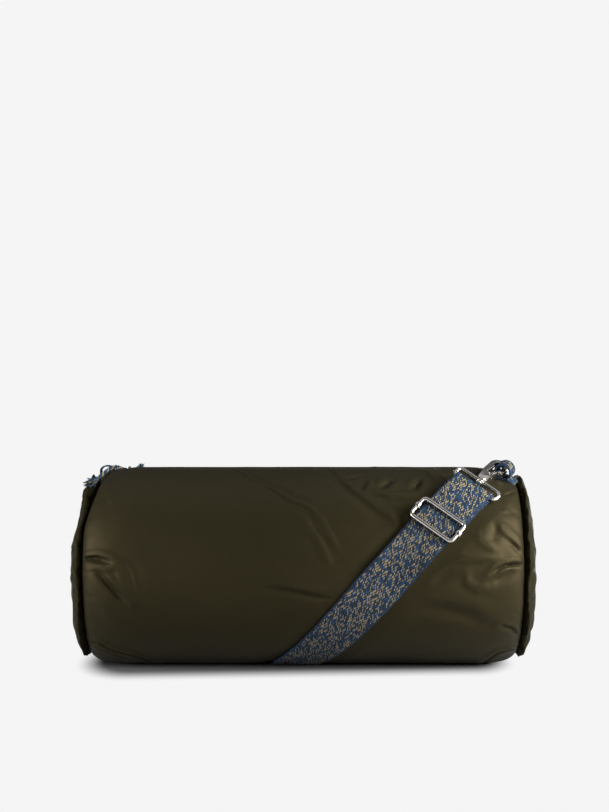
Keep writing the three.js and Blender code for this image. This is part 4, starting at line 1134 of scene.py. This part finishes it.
# %% Lines of the folds
FOLDS = [
    (3.0, 2.0, -1, [(193.5, 59), (184, 52.6), (177.3, 50.9)]),
    (-1.3, 1.8, 0, [(164.9, 40.4), (173.9, 39.6), (182.9, 38.4)]),
    (-2.1, 2.8, -1, [(173.7, 29.4), (184.9, 22.7), (196.3, 18)]),
    (1.0, 3.6, 0, [(172, 31.2), (169.6, 24.4), (167.4, 18)]),
    (-1.2, 2.8, 1, [(151.6, 21.5), (161.1, 17.6), (170.7, 13.2)]),
    (1.7, 2.2, 1, [(181.9, 19.5), (187.3, 16.2), (191.8, 12.9)]),
    (-1.6, 2.4, -1, [(123.7, 7.9), (139.6, 9.2), (153.7, 9.6), (172.4, 9.6)]),
    (4.4, 1.9, -1, [(198.5, 5.8), (185.9, 6.1), (177.7, 5.4), (172.3, 3.8), (166, 1)]),
    (2.3, 4.0, -1, [(186.8, 3.1), (176.7, -1), (166, -4)]),
    (-1.1, 3.0, 0, [(143, 1.9), (144.8, -4.2), (153.7, -7.2), (166.1, -7.1)]),
    (2.4, 6.0, 1, [(101.1, -17.9), (125, -19.5), (143.7, -22.7), (162.1, -30.3)]),
    (2.3, 1.9, 1, [(175.6, -30.9), (185.1, -34.1), (196.2, -44.9)]),
    (3.2, 2.0, 1, [(164.4, -73.6), (169.8, -61.6), (175.2, -55.5), (185.1, -54.2), (196.8, -61.2)]),
    (-2.2, 1.5, 1, [(-72.5, 89.7), (-51, 66.4), (-37.5, 58.3), (-27.4, 53.8), (-12.9, 45.5), (-1.2, 41.9),
        (7.7, 37.7)]),
    (-1.0, 2.4, -1, [(5.9, 40.5), (15.6, 28.9), (22.6, 21.2), (30.5, 14.5)]),
    (0.7, 3.0, 0, [(4.1, 37.1), (11.2, 27.1), (19.1, 17.8)]),
    (-0.8, 2.6, -1, [(11.2, 24.7), (16.4, 15), (24.3, 4.6)]),
    (-2.6, 2.8, -1, [(29.8, 68.1), (46.6, 52.8), (57.9, 45.9), (70.1, 38), (83.1, 31.9)]),
    (-1.4, 1.8, -1, [(23.8, 83.2), (32.6, 68.8), (39.8, 66.4), (54.6, 69.9)]),
    (-2.8, 2.1, -1, [(60.4, 59.3), (58.2, 51.9), (68.1, 50.6), (77.8, 48.6), (92.2, 48.4), (119.3, 49.6)]),
    (2.4, 3.2, 0, [(69.2, 53.6), (74.9, 57.8), (80.6, 61.5)]),
    (2.8, 3.0, 0, [(98.9, 52.8), (102.9, 57.3), (106.1, 62.6)]),
    (-2.1, 1.8, -1, [(101.7, 81.2), (117.7, 70.9), (132.5, 69)]),
    (-2.1, 1.8, -1, [(113.3, 69.6), (121.6, 62.6), (129.8, 55.3)]),
    (1.9, 2.8, 1, [(-34.6, -7.2), (-3.8, -10.1), (14.3, -12.4), (35.8, -14)]),
    (1.7, 5.0, 0, [(110.5, -3.9), (121, -0.9), (134.2, 3)]),
    (4.8, 1.9, 1, [(-197.5, 9.1), (-188, 9.9), (-180.5, 9.8), (-172.1, 8.3)]),
    (2.5, 2.5, 0, [(-188.5, 8), (-179.3, 7.7), (-171.2, 6.6)]),
    (-1.7, 1.9, 0, [(-176.7, 10.6), (-167.7, 9.7), (-163.6, 7.1), (-166.7, 4.7), (-175.6, 4.4), (-185.7, 4.7),
        (-195.3, 4.7)]),
    (-3.2, 3.4, 1, [(-163.1, 7.3), (-156, -0.9), (-151, -13.8)]),
    (2.8, 2.8, 1, [(-182.9, 2.8), (-174, -4.3), (-165.4, -9.7), (-156.1, -15.5)]),
    (-2.4, 4.6, 1, [(-188.4, 2.2), (-181.1, -7.5), (-173.4, -17.9), (-165.2, -27.7)]),
    (3.6, 1.9, 1, [(-196.7, -49.4), (-183.9, -45.9), (-175.9, -49.6), (-166.3, -52.1), (-155.3, -55.1),
        (-146.4, -58.8), (-138.4, -66.4)]),
    (-1.3, 2.0, -1, [(-191.2, -52.4), (-176.1, -56.4), (-159.6, -62.1)]),
    (-1.2, 3.0, 1, [(-180.2, 59.3), (-174, 49), (-168.5, 41.7)]),
]
print("noted lines", len(FOLDS))

# %% [markdown]
# ## From a line to a depth
# A line pushes the cloth in, or with a negative depth lifts it to a ridge, and fades out at its ends. It raises a lip
# on both sides, more on the side it leans to. A weaker copy of the lines is put on the back, which the photo doesn't
# show. The mesh is made finer near narrow lines only, because that is where the faces would show.

# %% Fold helpers
CORNER_DRAW = 9.0
BACK_SHARE = 0.6
FINE_BELOW = 3.5
GATHER_SEED = 11
STRAP_HOLD, HOOK_HOLD = 22.0, 12.0
FOLD_LIMITS, FILL_LIMITS = (-5.0, 3.0), (-1.2, 0.8)


def nearest_on(flat_x, flat_y, line):
    best = np.full(flat_x.shape, 1e9)
    where, hand = np.zeros(flat_x.shape), np.ones(flat_x.shape)
    count = len(line) - 1
    for number, ((x0, y0), (x1, y1)) in enumerate(zip(line, line[1:])):
        dx, dy = x1 - x0, y1 - y0
        t = np.clip(((flat_x - x0) * dx + (flat_y - y0) * dy) / (dx * dx + dy * dy), 0.0, 1.0)
        distance = np.hypot(flat_x - x0 - dx * t, flat_y - y0 - dy * t)
        closer = distance < best
        best = np.where(closer, distance, best)
        where = np.where(closer, (number + t) / count, where)
        hand = np.where(closer, np.sign(dx * (flat_y - y0) - dy * (flat_x - x0)), hand)
    return best, where, hand


def fold_depth(flat_x, flat_y, depth, width, lean, line, open_start=False):
    distance, where, hand = nearest_on(flat_x, flat_y, line)
    fade = np.sin(np.pi * np.clip(where, 0.03, 0.97)) ** 0.6
    if open_start:
        fade = np.cos(np.pi / 2 * where) ** 0.8
    groove = np.exp(-((distance / width) ** 2))
    lip = np.exp(-(((distance - 2.1 * width) / (1.2 * width)) ** 2))
    share = 0.38 if depth > 0 else 0.16
    return fade * depth * (share * (1 + 0.8 * lean * hand) * lip - groove)


def on_barrel(points):
    angle = np.arctan2(points[:, 2] - AXIS_Z, -points[:, 1])
    return points[:, 0], angle, np.hypot(points[:, 1], points[:, 2] - AXIS_Z)


def distance_to(samples, points):
    best = np.full(len(points), 1e9)
    for sample in samples:
        best = np.minimum(best, np.linalg.norm(points - np.array(sample), axis=1))
    return best


def smoothstep(share):
    share = np.clip(share, 0.0, 1.0)
    return share * share * (3 - 2 * share)


def drawn_in(points):
    high = smoothstep((points[:, 2] - 122.0) / 48.0)
    front = np.clip((20.0 - points[:, 1]) / 40.0, 0.0, 1.0)
    return CORNER_DRAW * high * front * (points[:, 0] < 0)


def refined(piece, near):
    bm = bmesh.new()
    bm.from_mesh(piece.data)
    centres = np.array([f.calc_center_median() / MM for f in bm.faces])
    picked = near(centres)
    edges = {e for f, wanted in zip(bm.faces, picked) if wanted for e in f.edges}
    bmesh.ops.subdivide_edges(bm, edges=list(edges), cuts=1, use_grid_fill=True)
    bm.to_mesh(piece.data)
    bm.free()


def flat_lines():
    for depth, width, lean, line in FOLDS:
        yield depth, width, lean, [(x, math.radians(a) * BARREL_RADIUS) for x, a in line]


def views(points):
    yield 1.0, points[:, 0], np.arctan2(points[:, 2] - AXIS_Z, -points[:, 1]) * BARREL_RADIUS
    yield BACK_SHARE, -points[:, 0], np.arctan2(points[:, 2] - AXIS_Z, points[:, 1]) * BARREL_RADIUS


def near_fold(points):
    close = np.zeros(len(points), bool)
    for _, x, flat in views(points):
        for _, width, _, line in flat_lines():
            if width < FINE_BELOW:
                close |= nearest_on(x, flat, line)[0] < 2.6 * width + 1.5
    return close


before_refining = len(shell.data.polygons)
refined(shell, near_fold)
print("faces", before_refining, "refined to", len(shell.data.polygons))

# %% [markdown]
# ## Moving the cloth
# The depths of all lines are added up. Many short random lines at each end are the gathers along the seam, and slow
# noise keeps the rest from being too even. Under the strap and the hooks the cloth is held down, beside the zip it
# dips, and where it meets the floor it is flattened.

# %% Sculpted folds
def noise_at(points, scale, shift=0.0):
    return np.array([noise.noise(Vector(point)) for point in points * np.array(scale) + np.array(shift)])


spots = points_of(shell) / MM
along_bag, angle, radius = on_barrel(spots)
raised = np.zeros(len(spots))
for share, x, flat in views(spots):
    for depth, width, lean, line in flat_lines():
        fuller = 1.0 if depth > 0 else 1.3
        raised += fold_depth(x, flat, depth * share * fuller, width * fuller, lean, line)
flat = angle * BARREL_RADIUS
rng = random.Random(GATHER_SEED)
for end in (-1, 1):
    turn = -math.pi
    while turn < math.pi:
        turn += math.radians(rng.uniform(6.0, 17.0))
        reach, lean = rng.uniform(7.0, 26.0), rng.uniform(-9.0, 9.0)
        start = (end * (HALF_BODY + 1), turn * BARREL_RADIUS)
        line = [start, (end * (HALF_BODY - reach), turn * BARREL_RADIUS + lean)]
        seen = 0.35 if abs(turn) < 1.3 else 1.0
        raised += fold_depth(
            along_bag, flat, seen * rng.uniform(0.5, 1.9), rng.uniform(2.2, 4.6), 0, line, True)
raised += (noise_at(spots, 0.021) + 0.35 * noise_at(spots, 0.06)) * 0.8
filled = np.clip((radius - barrel_radius(along_bag)) * 0.5, *FILL_LIMITS)
rise = filled + np.clip(raised, *FOLD_LIMITS)
rise *= np.clip((HALF_BODY + 1.0 - np.abs(along_bag)) / 5.0, 0.25, 1.0)
calm = np.clip((np.abs(spots[:, 1]) - 14.0) / 30.0, 0.35, 1.0)
rise = np.where(spots[:, 2] > 150, rise * calm, rise)
strap_samples = [
    strap_frame(q)[0] for q in spread(bail_from, out_fold_from, 4.0) + spread(climb_from, bail_to, 4.0)]
apart = distance_to(strap_samples, spots)
hook_samples = [
    to_side @ hook_place @ Vector((x, y, 0)) for to_side in sides.values() for x in (0, 8) for y in range(0, 48, 4)]
off_hook = np.clip((distance_to(hook_samples, spots) - HOOK_HOLD) / 12.0, 0.0, 1.0)
off_strap = smoothstep((apart - STRAP_HOLD) / 24.0)
rise = np.minimum(rise, -0.35 + off_strap * 3.0)
rise = np.minimum(rise, -1.2 + off_hook * 3.0)
lip = np.exp(-np.abs(np.abs(spots[:, 1]) - 6.5) / 1.3) * (np.abs(along_bag) < 176) * (spots[:, 2] > 150)
rise -= 1.3 * lip
radius = barrel_radius(along_bag) + rise
spots[:, 1] = -radius * np.cos(angle)
spots[:, 2] = AXIS_Z + radius * np.sin(angle)
spots[:, 0] += drawn_in(spots) * np.clip((-along_bag - 164.0) / 32.0, 0.0, 1.0) ** 2
ground_level = np.where(apart < 60, 2.2 * (1 - np.clip((apart - STRAP_HOLD) / 7.0, 0.0, 1.0)), 0.0)
above = spots[:, 2] - ground_level
low = above < 30
spots[:, 2] = np.where(low, ground_level + 0.5 * (above + np.sqrt(above * above + 2.4)), spots[:, 2])
set_points(shell, spots * MM)
print("folds from", round(float(rise.min()), 2), "to", round(float(rise.max()), 2), "mm")

# %% [markdown]
# ## Cutting the mouth
# The panel round the bag, and the two facings that meet at the zip, are cut from the same cloth, so the folds run
# across the cuts. Each copy of the shell is sliced with planes, the rest of it is deleted, and the remaining sheet is
# given its padded thickness: the inner face follows the clean barrel, not the folds. The facings are made in halves,
# cut apart at the middle of the mouth.

# %% Panel and facings
MOUTH_X, MOUTH_Y, SLOT_Y, ZIP_X = 132.0, 37.85, 6.5, 176.3
TOP = 140.0
CUT_GAP = 0.06


def cut_sheet(name, form, cuts, keep, cut_above, material):
    bm = bmesh.new()
    bm.from_mesh(form.data)
    for axis, value in cuts:
        faces = [f for f in bm.faces if f.calc_center_median().z > cut_above * MM]
        geometry = {g for f in faces for g in (f, *f.edges, *f.verts)}
        normal = Vector((axis == 0, axis == 1, 0))
        bmesh.ops.bisect_plane(bm, geom=list(geometry), dist=1e-7, plane_co=normal * value * MM, plane_no=normal)
    gone = [f for f in bm.faces if not keep(f.calc_center_median() / MM)]
    bmesh.ops.delete(bm, geom=gone, context="FACES")
    return new_piece(name, bm, [material])


def cut_copy(name, cuts, keep, inner_inset):
    piece = cut_sheet(name, shell, cuts, keep, TOP, nylon)
    count = len(piece.data.vertices)
    thicken(piece, 5.0 * MM, -1.0)
    points = points_of(piece) / MM
    x, turn, outer = on_barrel(points[:count])
    inner = np.minimum(barrel_radius(x, inner_inset), outer - 2.4)
    points[count:, 0] = np.clip(x, -HALF_BODY + 1, HALF_BODY - 1)
    points[count:, 1] = -inner * np.cos(turn)
    points[count:, 2] = np.maximum(AXIS_Z + inner * np.sin(turn), 3.2)
    set_points(piece, points * MM)
    piece.data.set_sharp_from_angle(angle=math.radians(50))
    return piece


def around_opening(slot_x, slot_y):
    def kept(spot):
        in_mouth = abs(spot.x) < MOUTH_X and abs(spot.y) < MOUTH_Y
        in_slot = abs(spot.x) < slot_x and abs(spot.y) < slot_y
        return spot.z < TOP or not (in_mouth or in_slot)

    cuts = [(0, s * x) for s in (-1, 1) for x in (MOUTH_X, slot_x)]
    return cuts + [(1, s * y) for s in (-1, 1) for y in (MOUTH_Y, slot_y)], kept


def mouth_blend(piece, name, hand):
    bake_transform(piece)


panel = cut_copy("shell_panel_padded", *around_opening(ZIP_X, SLOT_Y), 6.8)
fitted(panel, "nylon", "bag", "body_panel")

halves = {"left": -1, "right": 1}
bodies = {"front": -1, "rear": 1}
for name, front in bodies.items():
    for half, hand in halves.items():
        edge_x, edge_y = MOUTH_X - CUT_GAP, MOUTH_Y - CUT_GAP
        cuts = [(0, hand * edge_x), (0, 0.0), (1, front * edge_y), (1, front * SLOT_Y)]

        def in_half(spot):
            return spot.z > TOP and 0 < spot.x * hand < edge_x and SLOT_Y < spot.y * front < edge_y

        facing = cut_copy(f"{name}_facing_{half}", cuts, in_half, 6.6)
        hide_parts(f"{name}_facing")
        mouth_blend(facing, name, hand)
print("panel", len(panel.data.polygons), "faces")

# %% [markdown]
# ## Topstitching
# A row of stitches holds each facing flat beside the zip. A stitch is a small rounded bar. Its height comes from a ray
# dropped on the shell, so the row rides over the folds.

# %% Stitches
STITCH, STITCH_STEP, STITCH_ROW = 3.0, 4.1, 18.0
STITCHES = int((MOUTH_X - 4) / STITCH_STEP)
STITCH_PROFILE = [(0.0, -0.5), (0.18, -0.47), (0.26, -0.3), (0.3, 0.0), (0.26, 0.3), (0.18, 0.47), (0.0, 0.5)]
cloth_tree = BVHTree.FromObject(shell, bpy.context.evaluated_depsgraph_get())
thread_mesh = bmesh.new()
turned_about_y(thread_mesh, [(r, y * STITCH) for r, y in STITCH_PROFILE])
bmesh.ops.remove_doubles(thread_mesh, verts=thread_mesh.verts, dist=0.005)
bmesh.ops.recalc_face_normals(thread_mesh, faces=thread_mesh.faces)
bmesh.ops.rotate(thread_mesh, matrix=Matrix.Rotation(math.pi / 2, 3, "Z"), verts=thread_mesh.verts)
bmesh.ops.scale(thread_mesh, vec=(MM, MM, MM), verts=thread_mesh.verts)
stitch_pattern = bpy.data.meshes.new("stitch_pattern")
thread_mesh.to_mesh(stitch_pattern)
thread_mesh.free()


def stitch_row(name, hand, front):
    bm = bmesh.new()
    for number in range(STITCHES):
        start = len(bm.verts)
        bm.from_mesh(stitch_pattern)
        bm.verts.ensure_lookup_table()
        x = hand * (number + 0.5) * STITCH_STEP * MM
        spot = cloth_tree.ray_cast(Vector((x, front * STITCH_ROW * MM, 0.3)), Vector((0, 0, -1)))[0]
        bmesh.ops.translate(bm, vec=spot + Vector((0, 0, 0.00012)), verts=bm.verts[start:])
    return new_piece(name, bm, [thread])


for name, front in bodies.items():
    for half, hand in halves.items():
        row = stitch_row(f"{name}_stitches_{half}", hand, front)
        mouth_blend(row, name, hand)
bpy.data.objects.remove(shell)
print("stitches in four rows of", STITCHES)

# %% [markdown]
# ## Padded ends
# Each end is a stuffed disc sewn to the tube along its rim. Its profile is turned about the barrel's axis: a flat
# back, a fat roll that shows from the front as a narrow band, and a low dome. The roll is sewn down along two rings
# and filled, so its surplus gathers, and a few deeper notches are pinched into it where the seam was eased.

# %% End discs
END_INNER, END_SEAM, END_RIM, ROLL_WIDTH, DOME = 196.3, 77.0, 84.0, 12.0, 5.0
TOP_SQUEEZE = {"left": 0.36, "right": 0.06}
roll_centre = END_INNER + ROLL_WIDTH / 2


def end_profile():
    line = [(END_INNER, END_SEAM * i / 5) for i in range(6)]
    for i in range(1, 12):
        turn = math.pi * (i / 12 - 0.5)
        line.append((roll_centre + ROLL_WIDTH / 2 * math.sin(turn), END_SEAM + (END_RIM - END_SEAM) * math.cos(turn)))
    for i in range(16):
        share = i / 16
        line.append((END_INNER + ROLL_WIDTH + DOME * math.sin(share * math.pi / 2), END_SEAM * (1 - share)))
    return [*line, (END_INNER + ROLL_WIDTH + DOME, 0.0)]


tail_rows = [*range(6), *range(len(tab_line) - 6, len(tab_line))]
tail_samples = [np.array(tab_place(i, j)) for i in tail_rows for j in range(TAB_STRIPS + 1)]


def padded_end(side, hand, seed):
    rng = random.Random(seed)
    # The disc wears the darker copy of the nylon, whose colour is painted shade.
    piece = spun_tube(f"end_disc_{side}", [(hand * x, r) for x, r in end_profile()], 132, shaded_end_nylon)
    spots = points_of(piece) / MM
    ring = np.hypot(spots[:, 1], spots[:, 2] - AXIS_Z)
    back = np.abs(spots[:, 0]) < END_INNER + 0.2
    seam = np.abs(ring - END_SEAM) < 0.3
    sewn_and_filled(piece, np.nonzero(back | seam)[0], 2.5, 0.05, 0.003)
    subdivided(piece, 1)
    spots = points_of(piece) / MM
    turn = np.arctan2(spots[:, 2] - AXIS_Z, -spots[:, 1])
    ring = np.hypot(spots[:, 1], spots[:, 2] - AXIS_Z)
    on_roll = np.clip((ring - END_SEAM + 2.0) / 4.0, 0.0, 1.0)
    near_roll = np.clip((ring - END_SEAM + 24.0) / 24.0, 0.0, 1.0)
    notch = np.zeros(len(spots))
    place = -math.pi
    while place < math.pi - 0.06:
        place += math.radians(rng.uniform(7.0, 19.0))
        gap = np.abs(np.angle(np.exp(1j * (turn - place)))) * END_RIM
        notch += rng.uniform(0.7, 2.0) * np.exp(-((gap / rng.uniform(1.6, 3.2)) ** 2))
    wave = np.array([noise.noise(Vector((t * 4.0, seed, 0.5))) for t in turn])
    ring = ring + on_roll * (wave * 1.4 - notch)
    outward = np.clip((np.abs(spots[:, 0]) - roll_centre) / (ROLL_WIDTH / 2), 0.0, 1.0)
    face = outward * near_roll * (wave * 0.8 - notch * 0.75)
    spots[:, 0] += hand * np.clip(face, -2.4, 1.2)
    high = smoothstep((spots[:, 2] - AXIS_Z - 22.0) / 30.0)
    stand = np.abs(spots[:, 0]) - END_INNER
    spots[:, 0] = hand * (END_INNER + stand * (0.78 - TOP_SQUEEZE[side] * high))
    spots[:, 1] = -ring * np.cos(turn)
    spots[:, 2] = np.maximum(AXIS_Z + ring * np.sin(turn), 2.0)
    spots[:, 0] += drawn_in(spots) * np.clip(1 - (np.abs(spots[:, 0]) - END_INNER) / 5.0, 0.0, 1.0)
    to_side = np.array(sides[side])
    for sample in tail_samples:
        spot = to_side[:3, :3] @ sample + to_side[:3, 3]
        apart = np.linalg.norm(spots - spot, axis=1)
        spots[:, 0] += hand * np.clip(2.0 - apart, 0.0, 2.0) * 0.5
    set_points(piece, spots * MM)
    fitted(piece, "nylon", "bag", f"end_panel_{side}")
    return piece


ends = [padded_end("left", -1, 5), padded_end("right", 1, 8)]
print("end discs", [len(piece.data.polygons) for piece in ends])

# %% [markdown]
# ## Lining
# The lining is a bag of its own, hanging just inside the padding and caught along the mouth. Thin cloth like this never
# lies flat, so slow noise pushes it inwards in long soft waves.

# %% Lining
LINING_RADIUS = 84.4
ROOM_X, ROOM_Y = 176.6, 12.6
lining_reach = HALF_BODY - 0.6 - STRAIGHT_HALF


def lining_profile():
    half = [(STRAIGHT_HALF * i / 24, LINING_RADIUS) for i in range(25)]
    for i in range(1, 9):
        turn = math.pi / 2 * i / 8
        radius = LINING_RADIUS - SHOULDER_DROP * (1 - math.cos(turn))
        half.append((STRAIGHT_HALF + lining_reach * math.sin(turn), radius))
    end_radius = half[-1][1]
    half += [(STRAIGHT_HALF + lining_reach, end_radius * (1 - i / 9)) for i in range(1, 10)]
    return [(-x, r) for x, r in half[:0:-1]] + half


cloth_form = spun_tube("lining_form", lining_profile(), 96, lining_cloth)
spots = points_of(cloth_form) / MM
wave = noise_at(spots, (0.012, 0.03, 0.03))
ripple = noise_at(spots, (0.03, 0.09, 0.09), (0.0, 0.0, 5.0))
tuck = 1.0 - (np.clip(wave, -0.6, 0.6) * 2.2 + np.clip(ripple, -0.6, 0.6) * 1.2 + 2.0) / BARREL_RADIUS
ring = np.hypot(spots[:, 1], spots[:, 2] - AXIS_Z)
tuck = np.where(ring > 30, np.minimum(tuck, 1.0), 1.0)
spots[:, 1] *= tuck
spots[:, 2] = np.maximum(AXIS_Z + (spots[:, 2] - AXIS_Z) * tuck, 7.6)
set_points(cloth_form, spots * MM)
lining = cut_sheet("lining_sewn", cloth_form, *around_opening(ROOM_X, ROOM_Y), 120.0, lining_cloth)
bpy.data.objects.remove(cloth_form)
thicken(lining, 0.8 * MM, -1.0)
fitted(lining, "lining_cloth", "bag", "lining")
print("lining", len(lining.data.polygons), "faces")

# %% [markdown]
# ## Zip
# A coil zip is a woven tape with a row of small hooked teeth sewn along its edge. One tooth is turned as a rounded bar
# and repeated at an even pitch; the rear row is half a step behind the front one, as meshing teeth are. The rows along
# the mouth are made in halves. Fixed ends carry the same tape and teeth to the stops.

# %% Zip tapes and teeth
TAPE_LOW, TAPE_TOP, TAPE_GAP, TAPE_EDGE = 170.85, 171.85, 0.8, 12.0
TOOTH_PITCH, TOOTH_Z = 2.1, 172.95
TOOTH_PROFILE = [(0.0, -1.3), (0.5, -1.24), (0.68, -0.95), (0.68, 0.95), (0.5, 1.24), (0.0, 1.3)]


def tape_strip(bm, x_span, y_span):
    count = max(1, round(abs(x_span[1] - x_span[0]) / 4.0))

    def place(i, j):
        x = x_span[0] + (x_span[1] - x_span[0]) * i / count
        y = y_span[0] + (y_span[1] - y_span[0]) * j / 4
        return Vector((x, y, TAPE_TOP)) * MM

    carried_grid(bm, count, 4, place, lambda i, j: tuple(place(i, j).xy))
    bmesh.ops.recalc_face_normals(bm, faces=bm.faces)
    if bm.faces[:][0].normal.z < 0:
        bmesh.ops.reverse_faces(bm, faces=bm.faces)


def tooth_row(bm, x_span, front):
    low, high = sorted(x_span)
    offset = TOOTH_PITCH / 2 if front > 0 else 0.0
    first = math.ceil((low + 0.8 - offset) / TOOTH_PITCH)
    last = math.floor((high - 0.8 - offset) / TOOTH_PITCH)
    turned_about_y(bm, TOOTH_PROFILE)
    bmesh.ops.remove_doubles(bm, verts=bm.verts, dist=0.005)
    bmesh.ops.translate(bm, vec=(first * TOOTH_PITCH + offset, front * 1.98, TOOTH_Z), verts=bm.verts)
    tooth = [*bm.verts, *bm.edges, *bm.faces]
    for number in range(1, last - first + 1):
        copy = bmesh.ops.duplicate(bm, geom=tooth)["geom"]
        copied = [g for g in copy if isinstance(g, bmesh.types.BMVert)]
        bmesh.ops.translate(bm, vec=(number * TOOTH_PITCH, 0, 0), verts=copied)
    bmesh.ops.recalc_face_normals(bm, faces=bm.faces)
    bmesh.ops.scale(bm, vec=(MM, MM, MM), verts=bm.verts)


def zip_tape(name, *strips):
    bm = bmesh.new()
    for x_span, y_span in strips:
        tape_strip(bm, x_span, y_span)
    piece = new_piece(name, bm, [zip_cloth])
    thicken(piece, (TAPE_TOP - TAPE_LOW) * MM, -1.0)
    return piece


def zip_teeth(name, x_span, front):
    bm = bmesh.new()
    tooth_row(bm, x_span, front)
    return new_piece(name, bm, [coil])


for name, front in bodies.items():
    for half, hand in halves.items():
        span = (hand * (MOUTH_X - 0.3), hand * 0.05)
        tape = zip_tape(f"{name}_tape_{half}", (span, (front * TAPE_GAP, front * TAPE_EDGE)))
        teeth = zip_teeth(f"{name}_teeth_{half}", span, front)
        for piece, part in ((tape, "zip_tape"), (teeth, "zip_coil")):
            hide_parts(f"{name}_{part}")
            mouth_blend(piece, name, hand)

ZIP_END, ZIP_BAR = 176.0, 5.0
for side, hand in halves.items():
    inner, bar = hand * (MOUTH_X + 0.3), hand * (ZIP_END - ZIP_BAR)
    strips = [((inner, bar), (front * TAPE_GAP, front * TAPE_EDGE)) for front in (-1, 1)]
    tape = zip_tape(f"zip_end_tape_{side}", *strips, ((bar, hand * ZIP_END), (-TAPE_EDGE, TAPE_EDGE)))
    fitted(tape, "zip_tape", "bag", f"zip_end_{side}")
    for name, front in bodies.items():
        fitted(zip_teeth(f"zip_end_teeth_{side}_{name}", (inner, bar), front), "zip_coil", "bag")

# %% [markdown]
# ## Sizes and finish
# The box of the dressed bag is printed, to set beside the box of the CAD model printed at the start.

# %% Finish
dressed_box = [list(corner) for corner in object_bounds()]
print("dressed box", [[round(value, 4) for value in corner] for corner in dressed_box])
